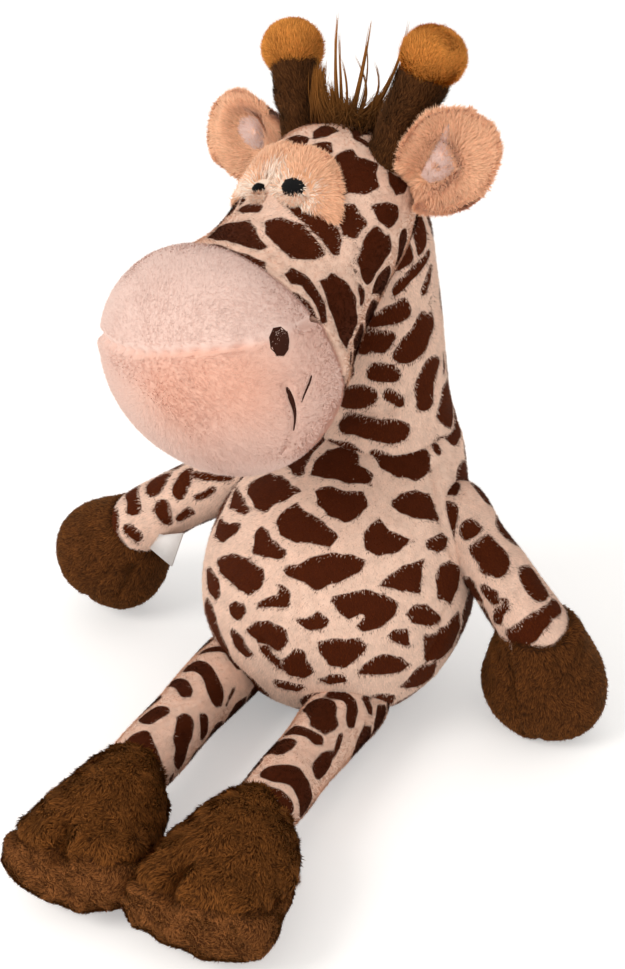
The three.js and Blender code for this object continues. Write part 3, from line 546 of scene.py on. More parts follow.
def pile(skin, count, length, width, lean, comb=(0.0, 0.0, -1.0), bent=False, seed=1, stray=0.3, swirl=None,
         spots=None, fuzz=0.85, grows=None, facing_share=0.4):
    """The finished piece: the skin with blades of pile on it, and what its material reads."""
    rng = np.random.default_rng(seed)
    skin.mesh.calc_loop_triangles()
    triangles = np.empty(len(skin.mesh.loop_triangles) * 3, dtype=np.int64)
    skin.mesh.loop_triangles.foreach_get("vertices", triangles)
    triangles = triangles.reshape(-1, 3)
    a, b, c = (skin.points[triangles[:, k]] for k in range(3))
    area = np.linalg.norm(np.cross(b - a, c - a), axis=1)
    if grows is not None:
        area = area * np.clip(grows, 0, 1)[triangles].min(axis=1)
    count = int(count * PILE_SHARE)
    chosen = triangles[rng.choice(len(area), count, p=area / area.sum())]
    u, v = rng.random((2, count))
    flip = u + v > 1
    u[flip], v[flip] = 1 - u[flip], 1 - v[flip]
    shares = np.stack([1 - u - v, u, v], axis=1)[:, :, None]

    def at_roots(values):
        values = np.broadcast_to(np.asarray(values, dtype=float), (len(skin.points),) + np.shape(values)[-1:])
        return (values[chosen] * shares).sum(axis=1)

    root, normal = at_roots(skin.points), unit(at_roots(skin.normals))
    way = unit(at_roots(comb))
    if swirl:
        way = way + swirl[1] * ripples(root, swirl[0], seed + 11)
    way = way + stray * rng.normal(size=(count, 3))
    way = unit(way - normal * (way * normal).sum(axis=1, keepdims=True))
    tilt = np.clip(np.radians(lean + 9 * rng.normal(size=count)), 0.05, 1.45)[:, None]
    rise = normal * np.cos(tilt) + way * np.sin(tilt)
    side = unit(np.cross(rise, normal) + 1e-6)
    long = (np.asarray(length, dtype=float) if np.ndim(length) == 0 else
            at_roots(np.reshape(length, (-1, 1)))) * rng.uniform(0.65, 1.15, (count, 1))
    wide = width * rng.uniform(0.7, 1.3, (count, 1))
    foot = root - normal * 0.4
    shaded = unit(normal + facing_share * np.cross(side, rise) + 0.15 * rng.normal(size=(count, 3)))
    if bent:
        lower = np.clip(tilt + 0.35, 0, 1.5)
        middle = root + rise * long * 0.5
        tip = middle + (normal * np.cos(lower) + way * np.sin(lower)) * long * 0.5
        stack = np.stack([foot - side * wide / 2, foot + side * wide / 2, middle + side * wide * 0.42,
                          middle - side * wide * 0.42, tip], axis=1)
        heights = np.array([0, 0, 0.5, 0.5, 1.0])
        pattern = [np.array([0, 1, 2, 3]), np.array([3, 2, 4])]
    else:
        stack = np.stack([foot - side * wide / 2, foot + side * wide / 2, root + rise * long], axis=1)
        heights = np.array([0, 0, 1.0])
        pattern = [np.array([0, 1, 2])]
    stack[:, :, 2] = np.maximum(stack[:, :, 2], FLOOR_SKIM)
    each = stack.shape[1]
    first = len(skin.points)
    starts = first + each * np.arange(count)
    own = np.empty(len(skin.mesh.loops), dtype=np.int64)
    skin.mesh.loops.foreach_get("vertex_index", own)
    own_starts = np.empty(len(skin.mesh.polygons), dtype=np.int64)
    skin.mesh.polygons.foreach_get("loop_start", own_starts)
    loops, loop_starts = [own], [own_starts]
    reach = len(own)
    for corners in pattern:
        block = starts[:, None] + corners[None, :]
        loops.append(block.ravel())
        loop_starts.append(reach + len(corners) * np.arange(count))
        reach += block.size
    mesh = bpy.data.meshes.new(skin.name)
    points = np.vstack([skin.points, stack.reshape(-1, 3)])
    loops, loop_starts = np.concatenate(loops), np.concatenate(loop_starts)
    mesh.vertices.add(len(points))
    mesh.vertices.foreach_set("co", (points * MM).ravel())
    mesh.loops.add(len(loops))
    mesh.loops.foreach_set("vertex_index", loops)
    mesh.polygons.add(len(loop_starts))
    mesh.polygons.foreach_set("loop_start", loop_starts)
    mesh.update(calc_edges=True)
    mesh.polygons.foreach_set("use_smooth", np.ones(len(mesh.polygons), dtype=bool))

    def with_blades(on_skin, on_blades):
        return np.concatenate([on_skin, np.repeat(on_blades, each, axis=0)])

    depth = np.full((first, 1), -6.0) if spots is None else np.reshape(spots, (-1, 1))
    dark = with_blades(depth, at_roots(depth) + fuzz * rng.normal(size=(count, 1)))
    for name, values in (
        ("shade", with_blades(np.zeros(first), rng.uniform(-1, 1, count))),
        # tip: how far up its blade a point lies; the materials paint shade at the roots and light at the tips, and
        # the skin under the blades takes nearly a root's painted shade
        ("tip", np.concatenate([np.full(first, 0.3), np.tile(heights, count)])),
        ("spot", np.clip(dark, -6, 6).ravel()),
    ):
        mesh.attributes.new(name, "FLOAT", "POINT").data.foreach_set("value", values)
    rest = with_blades(skin.points, root) * MM
    mesh.attributes.new("rest", "FLOAT_VECTOR", "POINT").data.foreach_set("vector", rest.ravel())
    outward = with_blades(skin.normals, normal)
    sizes = np.diff(np.append(loop_starts, len(loops)))
    uv = mesh.uv_layers.new(name="OFBake")
    ways = outward[np.repeat(loops[loop_starts], sizes)]
    uv.data.foreach_set("uv", charts(points[loops], ways).ravel())
    mesh.normals_split_custom_set_from_vertices(with_blades(skin.normals, shaded))
    bpy.data.meshes.remove(skin.mesh)
    return linked(skin.name, mesh)


# Materials
def node(tree, kind, inputs=None, **settings):
    """Adds a node with its settings. An input that is a socket is linked, and any other is a value."""
    made = tree.nodes.new(kind)
    for key, value in settings.items():
        setattr(made, key, value)
    for key, value in (inputs or {}).items():
        if isinstance(value, bpy.types.NodeSocket):
            tree.links.new(value, made.inputs[key])
        else:
            made.inputs[key].default_value = value
    return made


def read(tree, name, output="Fac"):
    return node(tree, "ShaderNodeAttribute", attribute_name=name).outputs[output]


def mixed(tree, share, first, second, blend="MIX"):
    made = node(tree, "ShaderNodeMix", data_type="RGBA", blend_type=blend, clamp_factor=True)
    for socket, value in zip((made.inputs[0], made.inputs[6], made.inputs[7]), (share, first, second)):
        if isinstance(value, bpy.types.NodeSocket):
            tree.links.new(value, socket)
        else:
            socket.default_value = value
    return made.outputs[2]


def value(tree, operation, *inputs, clamp=False):
    return node(tree, "ShaderNodeMath", dict(enumerate(inputs)), operation=operation, use_clamp=clamp).outputs[0]


def plush(name, root, tip, dark_root=None, dark_tip=None, sheen=0.35, sheen_tint="#ffffff", streak=0.16,
          patchy=0.1, patch_size=9.0):
    """Polyester pile: each blade a little lighter or darker, with a soft sheen. Each blade is lighter towards its
    tip, over the pile's own tone: painted shade at the roots and painted light on the tips.
    """
    material = bpy.data.materials.new(name)
    material.use_nodes = True
    tree = material.node_tree
    tree.nodes.clear()
    tips = read(tree, "tip")
    # Root colour to tip colour along each blade: painted shade at the roots, painted light on the tips
    colour = mixed(tree, tips, srgb(root), srgb(tip))
    if dark_root:
        # The spots too: painted shade at their roots, painted light on their tips
        dark = mixed(tree, tips, srgb(dark_root), srgb(dark_tip))
        share = value(tree, "MULTIPLY_ADD", read(tree, "spot"), SPOT_FADE, 0.5, clamp=True)
        colour = mixed(tree, share, colour, dark)
    rest = read(tree, "rest", "Vector")
    cloud = node(tree, "ShaderNodeTexNoise", {"Vector": rest, "Scale": 1 / (patch_size * MM), "Detail": 3.0})
    light = value(tree, "MULTIPLY_ADD", read(tree, "shade"), streak, 1.0)
    patch = value(tree, "MULTIPLY_ADD", cloud.outputs["Fac"], 2 * patchy, 1.0 - patchy)
    light = value(tree, "MULTIPLY", light, patch)
    colour = mixed(tree, 1.0, colour, node(tree, "ShaderNodeCombineColor", {0: light, 1: light, 2: light}).outputs[0],
                   "MULTIPLY")
    grain = node(tree, "ShaderNodeTexNoise", {"Vector": rest, "Scale": 1 / (0.8 * MM), "Detail": 2.0})
    bump = node(tree, "ShaderNodeBump", {"Height": grain.outputs["Fac"], "Strength": 0.25, "Distance": 0.4 * MM})
    shader = node(tree, "ShaderNodeBsdfPrincipled", {
        "Base Color": colour, "Roughness": 0.85, "IOR": 1.5, "Sheen Weight": sheen, "Sheen Roughness": 0.45,
        "Sheen Tint": srgb(sheen_tint), "Specular IOR Level": 0.08, "Normal": bump.outputs[0],
    })
    out = node(tree, "ShaderNodeOutputMaterial")
    tree.links.new(shader.outputs[0], out.inputs[0])
    return material


def satin(name, colour, shine):
    """Embroidery: rayon threads side by side, with painted light and shade in fine lines along them."""
    material = bpy.data.materials.new(name)
    material.use_nodes = True
    tree = material.node_tree
    tree.nodes.clear()
    where = node(tree, "ShaderNodeTexCoord").outputs["Object"]
    lines = node(tree, "ShaderNodeTexWave", {"Vector": where, "Scale": 1 / (0.9 * MM), "Distortion": 1.5,
                                             "Detail": 2.0}, bands_direction="DIAGONAL")
    # The fine lines are painted light and shade: the thread colour made lighter and darker along them
    shade = node(tree, "ShaderNodeMapRange", {0: lines.outputs["Fac"], 3: 0.75, 4: 1.25}).outputs[0]
    tone = mixed(tree, 1.0, srgb(colour), node(tree, "ShaderNodeCombineColor", {0: shade, 1: shade, 2: shade}).outputs[0],
                 "MULTIPLY")
    bump = node(tree, "ShaderNodeBump", {"Height": lines.outputs["Fac"], "Strength": 0.5, "Distance": 0.3 * MM})
    shader = node(tree, "ShaderNodeBsdfPrincipled", {"Base Color": tone, "Roughness": shine, "IOR": 1.5,
                                                     "Specular IOR Level": 0.12, "Normal": bump.outputs[0]})
    out = node(tree, "ShaderNodeOutputMaterial")
    tree.links.new(shader.outputs[0], out.inputs[0])
    return material


def ribbon(name, colour):
    """Woven polyester ribbon: a fine plain weave, matt, with painted shade in the weave's hollows."""
    material = bpy.data.materials.new(name)
    material.use_nodes = True
    tree = material.node_tree
    tree.nodes.clear()
    where = read(tree, "rest", "Vector")
    weave = [node(tree, "ShaderNodeTexWave", {"Vector": where, "Scale": 1 / (1.1 * MM)}, bands_direction=way)
             for way in ("X", "Z")]
    height = value(tree, "MULTIPLY", weave[0].outputs["Fac"], weave[1].outputs["Fac"])
    # Where the weave is low the colour goes grey: painted shade in its hollows
    tone = mixed(tree, height, srgb("#dcd8d6"), srgb(colour))
    bump = node(tree, "ShaderNodeBump", {"Height": height, "Strength": 0.4, "Distance": 0.2 * MM})
    shader = node(tree, "ShaderNodeBsdfPrincipled", {"Base Color": tone, "Roughness": 0.7, "IOR": 1.5,
                                                     "Normal": bump.outputs[0]})
    out = node(tree, "ShaderNodeOutputMaterial")
    tree.links.new(shader.outputs[0], out.inputs[0])
    return material


# Each pile goes from its root colours, darker with painted shade, to its tip colours, lighter with painted light,
# over the pile's own tone
SPOTTED = plush("spotted_short_plush", "#e1bfaa", "#f3d7c6", "#301005", "#642a0c", sheen=0.04,
                sheen_tint="#f2c9a0", streak=0.22, patchy=0.2, patch_size=5)
PINK = plush("pink_short_plush", "#e5c6ba", "#eed2c8", "#e3ae98", "#edbfab", sheen=0.2, streak=0.05,
             patchy=0.05, patch_size=16)
HOOF = plush("brown_long_pile", "#1f0d04", "#855023", "#281208", "#8a552b", sheen=0.25, sheen_tint="#c9853f",
             streak=0.6, patchy=0.35, patch_size=8)
# The hands' pile is the feet's brown pile made darker: painted shade where the hands sit in shade, with some darker
# patches of the fabric's own
SHADED_HAND_PILE = plush("brown_long_pile_painted_darker", "#180a04", "#6c3f1b", sheen=0.25, sheen_tint="#c08a50", streak=0.6, patchy=0.4,
             patch_size=11)
HORN = plush("dark_brown_pile", "#180a03", "#5c381c", sheen=0.15, sheen_tint="#c89a68", streak=0.55, patchy=0.25)
GOLD = plush("golden_pile", "#94500c", "#e3984a", sheen=0.45, sheen_tint="#ffa028", streak=0.3, patchy=0.25)
PEACH = plush("peach_long_pile", "#dda078", "#f8c6a2", "#ecd0ba", "#faeadb", sheen=0.25, streak=0.14, patchy=0.12)
PALE = plush("pale_lining_plush", "#e8c4b8", "#f3d8cf", sheen=0.25, streak=0.06, patchy=0.05)
HAIR = plush("golden_brown_hair", "#3c2210", "#b87634", sheen=0.2, sheen_tint="#ffc078", streak=0.5, patchy=0.2)
FIBRE = plush("polyester_fibre", "#efece6", "#ffffff", sheen=0.3, streak=0.1, patchy=0.1)
THREAD = satin("dark_brown_thread", "#38180c", 0.7)
BLACK = satin("black_thread", "#060607", 0.6)
LABEL = ribbon("white_ribbon", "#f6f3f1")


def dress(piece, body, nodes, material):
    """Gives a piece its material and its body, and hides the solids that it stands for."""
    piece.data.materials.clear()
    piece.data.materials.append(material)
    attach(piece, body)
    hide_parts(*nodes)
    return piece


def body_rings(share=1.0):
    for high, wide, deep, set_back in BODY_SHARES:
        at = Vector((BODY_LEAN * set_back, BODY_SET_BACK * set_back, BODY_HIGH * (0.5 + (high - 0.5) * share)))
        yield ring(at, Vector((1, 0, 0)), Vector((0, 1, 0)), BODY_WIDE * wide * share, BODY_DEEP * deep * share)


def clear_of(skin, others, reach):
    """How freely the pile grows: not at all on and beside some smaller pieces."""
    free = np.ones(len(skin.points))
    for other in others:
        tree = other.tree()
        near = np.all((skin.points > other.points.min(axis=0) - reach) &
                      (skin.points < other.points.max(axis=0) + reach), axis=1)
        for i in np.flatnonzero(near):
            if tree.find_nearest(skin.points[i])[3] < reach:
                free[i] = 0
    return free


def badge(name, edge, tree, high, levels=1):
    """A cushion on a surface, within an edge that runs anticlockwise as seen from outside."""
    form = bmesh.new()
    bmesh.ops.create_uvsphere(form, u_segments=48, v_segments=20, radius=1)
    skin = Skin(name, form, levels=levels)
    x, y, z = skin.local.T
    turn = (np.arctan2(y, x) / (2 * math.pi)) % 1 * len(edge)
    rim = np.stack([np.interp(turn, np.arange(len(edge) + 1), np.append(line, line[0])) for line in edge.T], axis=1)
    middle = edge.mean(axis=0)
    flat = middle + (rim - middle) * np.hypot(x, y)[:, None]
    heights = np.where(z > 0, high * np.abs(z) ** 0.5, -1.2 * np.abs(z))
    for i, (point, height) in enumerate(zip(flat, heights)):
        at, way, _, _ = tree.find_nearest(point)
        skin.points[i] = at + way * height
    skin.refresh()
    return skin


def make_body():
    skin = Skin("body", loft(body_rings(), 32), levels=3)
    skin.lumps(34, 0.8, 3)
    skin.lumps(12, 0.25, 4)
    seam = skin.hit(SIDE_SEAM_PX)
    skin.groove(nearest_on(skin.points, seam)[0], 2.2, 2.2)
    for dart in DARTS_PX:
        skin.groove(nearest_on(skin.points, skin.hit(dart))[0], 2.0, 2.4)
    pattern = spotted(skin, SPOT_SPACING, 21, BODY_SPOTS_PX, shapes=BODY_SHAPES_PX)
    piece = pile(skin, 120000, 2.0, 0.45, 62, spots=pattern, seed=2)
    dress(piece, "body", ["body"], SPOTTED)
    filling = Skin("body_stuffing", loft(body_rings(FILLING_SHARE), 24), levels=2)
    filling.lumps(9, 1.0, 6)
    dress(pile(filling, 3000, 4, 0.5, 60, seed=7), "body", ["body_stuffing"], FIBRE)


def make_neck():
    base = PIVOT["neck_bend"]
    rings = [ring(Vector((0, 0, high * NECK_LENGTH)), Vector((1, 0, 0)), Vector((0, 1, 0)),
                  radius * NECK_RADIUS, radius * NECK_RADIUS) for high, radius in NECK_SHARES]
    skin = Skin("neck", loft(rings, 32), Matrix.Translation(base), levels=3)
    skin.lumps(26, 0.8, 8)
    skin.groove(nearest_on(skin.points, skin.hit(COLLAR_PX))[0], 3.0, 3.2)
    pattern = spotted(skin, SPOT_SPACING - 3, 22, NECK_SPOTS_PX)
    piece = pile(skin, 70000, 2.0, 0.45, 62, spots=pattern, seed=3)
    piece.data.materials.append(SPOTTED)
    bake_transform(piece)
    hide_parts("neck")


def spine(s):
    """A point of the head's centre line and the way up there, s from the cranium's middle."""
    def slope(t):
        share = min(max(t / SNOUT_LENGTH, 0), 1)
        return math.radians(CRANIUM_SLOPE + (MUZZLE_SLOPE - CRANIUM_SLOPE) * share)
    steps = 24
    y, z = -CRANIUM_FORWARD, CRANIUM_UP
    for i in range(steps):
        y -= s / steps * math.cos(slope(s * (i + 0.5) / steps))
        z -= s / steps * math.sin(slope(s * (i + 0.5) / steps))
    return Vector((0, y, z)), Vector((0, -math.sin(slope(s)), math.cos(slope(s))))


def head_ring(s, wide, high, rise, share=1.0):
    at, up = spine(s)
    return ring(at + up * rise, Vector((1, 0, 0)), up, wide * share, high * share)


HEAD_PLACE = placed(PIVOT["head_turn"], "XYZ", 0, -HEAD_ROLL, HEAD_TURN)
SEAM = SNOUT_LENGTH - SEAM_TO_MIDDLE


def muzzle_ring(s, shares, share=1.0):
    return head_ring(s, shares[0] * MUZZLE_WIDE, shares[1] * MUZZLE_HIGH, shares[2] * MUZZLE_HIGH, share)


def skull_rings():
    for place, *shares in CRANIUM_SHARES:
        yield head_ring(place * CRANIUM_RADIUS, *[share * CRANIUM_RADIUS for share in shares])
    for place, *shares in SNOUT_SHARES:
        yield muzzle_ring(place * SNOUT_LENGTH, shares)
    yield muzzle_ring(SEAM - 3, [share - 0.01 for share in SEAM_SHARES])
    yield muzzle_ring(SEAM, [share - 0.02 for share in SEAM_SHARES])
    yield muzzle_ring(SEAM + 2, SEAM_SHARES, 0.8)


def nose_rings():
    yield muzzle_ring(SEAM + 1, SEAM_SHARES, 0.8)
    yield muzzle_ring(SEAM - 0.5, SEAM_SHARES, 0.985)
    yield muzzle_ring(SEAM + 4, (0.92, 0.93, 0.01))
    yield muzzle_ring(SEAM + 12, (0.975, 0.975, 0))
    for place, *shares in NOSE_SHARES:
        yield muzzle_ring(SNOUT_LENGTH + place * MUZZLE_LENGTH, shares)


def make_head():
    skin = Skin("head", loft(skull_rings(), 32), HEAD_PLACE, levels=3)
    skin.lumps(30, 0.7, 9)
    pattern = spotted(skin, SPOT_SPACING - 4, 24, HEAD_SPOTS_PX, shapes=HEAD_SHAPES_PX)
    patches = [make_eye(side, sign, skin) for side, sign in SIDES.items()]
    piece = pile(skin, 100000, 2.0, 0.45, 62, spots=pattern, seed=5, grows=clear_of(skin, patches, 0.3),
                 comb=-HEAD_PLACE.to_3x3().col[1])
    dress(piece, "head", ["head"], SPOTTED)
    rings = list(skull_rings())[:-2] + list(nose_rings())[3:]
    middle = Matrix.Translation(spine(SNOUT_LENGTH / 2)[0])
    inner = middle @ Matrix.Scale(HEAD_FILLING_SHARE, 4) @ middle.inverted()
    filling = Skin("head_stuffing", loft([inner @ r for r in rings], 24), HEAD_PLACE, levels=2)
    filling.lumps(9, 1.0, 12)
    dress(pile(filling, 3000, 3, 0.5, 60, seed=13), "head", ["head_stuffing"], FIBRE)


def lip_place():
    """The muzzle's own place: its middle, twisted with the seam between its panels."""
    return HEAD_PLACE @ Matrix.Translation(spine(SNOUT_LENGTH)[0]) @ Matrix.Rotation(math.radians(-MUZZLE_TWIST), 4, "Y")


def sewn(name, path, radii, material):
    """A stitch or fold of thread along a line on the muzzle, thick or thin as it goes."""
    middle = np.array(lip_place().translation)
    rings = []
    for i, (at, radius) in enumerate(zip(path, radii)):
        along = Vector(path[min(i + 1, len(path) - 1)] - path[max(i - 1, 0)]).normalized()
        out = Vector(at - middle).normalized()
        across = along.cross(out).normalized()
        rings.append(ring(Vector(at) + out * 0.5, across, out, radius, radius * 0.6))
    skin = Skin(name, loft(rings, 8), levels=2)
    piece = pile(skin, 30, 0.5, 0.2, 60, seed=7)
    dress(piece, "head", [name], material)


def mirrored(path):
    """A line on the muzzle and its mirror image on the other cheek."""
    flip = lip_place() @ Matrix.Scale(-1, 4, (1, 0, 0)) @ lip_place().inverted()
    return path, moved(path, flip)


def make_muzzle():
    skin = Skin("muzzle", loft(nose_rings(), 40), HEAD_PLACE, levels=3)
    local = moved(skin.points, lip_place().inverted())
    seam = moved(skin.hit(LIP_SEAM_PX), lip_place().inverted())
    seam = seam[np.argsort(seam[:, 0])]
    over_seam = local[:, 2] - np.interp(local[:, 0], seam[:, 0], seam[:, 2])
    pulls = 1 + 0.35 * np.sin(local[:, 0] * 2 * math.pi / 8)
    nostril_middles = [path.mean(axis=0) for path in mirrored(skin.hit(NOSTRIL_PX))]
    beside = np.min([np.linalg.norm(skin.points - at, axis=1) for at in nostril_middles], axis=0)
    sewn_in = np.clip((beside - 10) / 6, 0, 1)  # the seam is flat around the nostrils
    fold = -3.0 * pulls * np.exp(-(over_seam / 1.7) ** 2) + 0.8 * np.exp(-((over_seam + 4.5) / 3) ** 2)
    skin.push(sewn_in * fold)
    for pixels, wide, deep in ((MOUTH_PX, 1.8, 2.0), (CHEEK_PX, 1.3, 1.0)):
        for path in mirrored(skin.hit(pixels)):
            skin.groove(nearest_on(skin.points, path)[0], wide, deep)
    skin.lumps(40, 0.6, 14)
    nostrils = [badge("nostril_" + side, path[::sign], skin.tree(), 1.3)
                for (side, sign), path in zip(SIDES.items(), mirrored(skin.hit(NOSTRIL_PX)))]
    for name, pixels, radii in (("mouth_stitch_", MOUTH_STITCH_PX, MOUTH_STITCH_RADII),
                                ("cheek_stitch_", CHEEK_PX, CHEEK_STITCH_RADII)):
        for side, path in zip(SIDES, mirrored(skin.hit(pixels))):
            sewn(name + side, path, radii, THREAD)
    places = moved(skin.points, lip_place().inverted())
    comb = moved(places * np.array([1.0, 0.3, 1.0]), lip_place().to_3x3().to_4x4())
    lower = np.clip(0.5 - over_seam / 3, 0, 1)
    blushes = [np.linalg.norm(skin.points - place, axis=1) for place in skin.hit(BLUSH_PX)]
    blush = 0.25 + 0.75 * np.exp(-(np.min(blushes, axis=0) / 26) ** 2)
    piece = pile(skin, 120000, 2.0, 0.42, 64, comb=comb, seed=6, swirl=(16, 0.3), stray=0.2,
                 spots=(lower * blush - 0.5) / SPOT_FADE, fuzz=0.05,
                 grows=clear_of(skin, nostrils, 0.8) * ((np.abs(over_seam) > 1.8) | (sewn_in < 0.5)))
    dress(piece, "head", ["muzzle_upper", "muzzle_lower"], PINK)
    for nostril, side in zip(nostrils, SIDES):
        across = moved(nostril.points, lip_place().inverted())[:, 0]
        nostril.groove(across - (across.max() + across.min()) / 2, 1.0, 1.0)
        dress(pile(nostril, 500, 1.0, 0.3, 60, seed=7), "head", ["nostril_" + side], THREAD)


def tube_rings(radii, length, share=1.0):
    """Rings of a limb along -Z, round at both ends."""
    quarter = 3
    for i in range(1, quarter + 1):
        turn = math.pi / 2 * i / quarter
        yield radii[0] * math.cos(turn), radii[0] * math.sin(turn)
    for i in range(1, len(radii) - 1):
        yield -length * i / (len(radii) - 1), radii[i]
    for i in range(quarter):
        turn = math.pi / 2 * i / quarter
        yield -length - radii[-1] * math.sin(turn), radii[-1] * math.cos(turn)


def limb(name, radii, length, place):
    rings = [ring(Vector((0, 0, z)), Vector((1, 0, 0)), Vector((0, 1, 0)), r, r)
             for z, r in tube_rings(radii, length)]
    return Skin(name, loft(rings, 20), place, levels=3)


def hoof(name, shares, start, length, wide, thick, place):
    rings = [ring(Vector((0, sum(drop) * thick, -start - at * length)), Vector((1, 0, 0)), Vector((0, 1, 0)),
                  a * wide, b * thick) for at, a, b, *drop in shares]
    return Skin(name, loft(rings, 28), place, levels=3)


def make_arm(side, sign):
    place = placed(PIVOT["arm_raise_" + side], "ZYX", -ARM_FORWARD[side], -sign * ARM_OUT[side], 0)
    skin = limb("arm_" + side, ARM_RADII, ARM_LENGTH, place)
    skin.lumps(20, 0.7, 31 + sign)
    pattern = spotted(skin, SPOT_SPACING - 5, 33 + sign, ARM_SPOTS_PX[side])
    piece = pile(skin, 36000, 2.0, 0.45, 62, spots=pattern, seed=35 + sign, comb=-place.to_3x3().col[2])
    dress(piece, "arm_" + side, ["arm_" + side], SPOTTED)


def make_hand(side, sign):
    lean, tilt = HAND_LEAN[side]
    place = placed(PIVOT["hand_flop_" + side], "ZYX", lean, tilt, 0)
    skin = hoof("hand_" + side, HAND_SHARES, HAND_START[side], HAND_LENGTH[side], HAND_WIDE, HAND_THICK, place)
    local = moved(skin.points, place.inverted())
    ends = np.clip(-local[:, 2] / 14, 0, 1)
    skin.push(-1.2 * np.exp(-((local[:, 0] + 4 * np.sign(local[:, 1])) / 2.2) ** 2) * ends)
    skin.groove(nearest_on(skin.points, skin.hit(HAND_SEAM_PX[side]))[0], 1.8, 3.0)
    skin.lumps(18, 0.8, 41 + sign)
    skin.flatten()
    piece = pile(skin, 50000, 3.6, 0.6, 62, bent=True, seed=43 + sign, swirl=(7, 0.5), stray=0.2,
                 comb=-place.to_3x3().col[2])
    # The hands' darker pile is painted shade
    dress(piece, "hand_" + side, ["hand_" + side], SHADED_HAND_PILE)


def make_leg(side, sign):
    hip, ankle = PIVOT["leg_swing_" + side], PIVOT["foot_flop_" + side]
    rise = math.degrees(math.asin((ankle.z - hip.z) / LEG_LENGTH))
    place = placed(hip, "XYZ", -90 - rise, 0, LEG_TURN[side])
    skin = limb("leg_" + side, LEG_RADII, LEG_LENGTH, place)
    skin.lumps(22, 0.8, 51 + sign)
    skin.flatten()
    pattern = spotted(skin, SPOT_SPACING - 5, 53 + sign, LEG_SPOTS_PX[side])
    piece = pile(skin, 44000, 2.0, 0.45, 62, spots=pattern, seed=55 + sign, comb=(0.0, -1.0, 0.0))
    dress(piece, "leg_" + side, ["leg_" + side], SPOTTED)


def make_foot(side, sign):
    place = placed(PIVOT["foot_flop_" + side], "XYZ", -90, 0, LEG_TURN[side] + FOOT_TURN[side])
    skin = hoof("foot_" + side, FOOT_SHARES, FOOT_START, FOOT_LENGTH, FOOT_WIDE[side], FOOT_HIGH, place)
    ankle = PIVOT["foot_flop_" + side].z
    flare = 1 + FOOT_FLARE * np.clip(skin.local[:, 1] / FOOT_HIGH, -1, 1)
    skin.points = moved(skin.local * np.stack([flare, flare * 0 + 1, flare * 0 + 1], axis=1), place)
    skin.refresh()

    def measures():
        """Across the foot, the share of the way ahead, and the height over the sole's seam."""
        x, y, z = moved(skin.points, place.inverted()).T
        ahead = (-z - FOOT_START) / FOOT_LENGTH
        return x, ahead, ankle - SOLE_HEEL - (SOLE_TOE - SOLE_HEEL) * ahead - y

    x, ahead, over = measures()
    front, above = np.clip((ahead - 0.72) / 0.16, 0, 1), np.clip((over + 11) / 8, 0, 1)
    between = (x - CLEFT_SHIFT[side]) / 2.7
    cleft = 11 * np.exp(-between ** 2) * front * above
    toes = 2.6 * np.cos(np.clip(between * 0.3, -1.2, 1.2) * math.pi) * front * above
    skin.push(-cleft - toes - 3.4 * np.exp(-((over + 1) / 2) ** 2) * np.clip(ahead / 0.3, 0, 1))
    skin.lumps(6, 0.45, 65 + sign)
    skin.lumps(17, 0.9, 61 + sign)
    skin.flatten()
    x, ahead, over = measures()
    ways = np.stack([x * 0.5, np.zeros(len(x)), np.full(len(x), -40.0)], axis=1)
    piece = pile(skin, 62000, np.where(over > 0, 4.6, 2.8), 0.65, 60, bent=True, seed=63 + sign,
                 swirl=(6, 0.6), stray=0.2, spots=-over, comb=moved(ways, place.to_3x3().to_4x4()))
    dress(piece, "foot_" + side, ["foot_" + side, "sole_" + side], HOOF)


def make_tail():
    place = placed(PIVOT["tail_swing"], "XYZ", TAIL_HANG, 0, 0)
    along = -place.to_3x3().col[2]
    skin = limb("tail", TAIL_RADII, TAIL_LENGTH, place)
    piece = pile(skin, 5000, 1.8, 0.4, 62, spots=spotted(skin, 11, 71, gap=3), seed=72, comb=along)
    dress(piece, "tail", ["tail"], SPOTTED)
    rings = [ring(Vector((0, 0, -TAIL_LENGTH - TAIL_TUFT_LONG * (1 - math.cos(turn)))), Vector((1, 0, 0)),
                  Vector((0, 1, 0)), TAIL_TUFT_WIDE * math.sin(turn), TAIL_TUFT_WIDE * math.sin(turn))
             for turn in (0.4, 0.9, 1.5, 2.1, 2.7)]
    tuft = Skin("tail_tuft", loft(rings, 14), place, levels=2)
    tuft.flatten()
    piece = pile(tuft, 4000, 6, 0.6, 55, bent=True, seed=73, comb=along)
    dress(piece, "tail", ["tail_tuft"], HOOF)


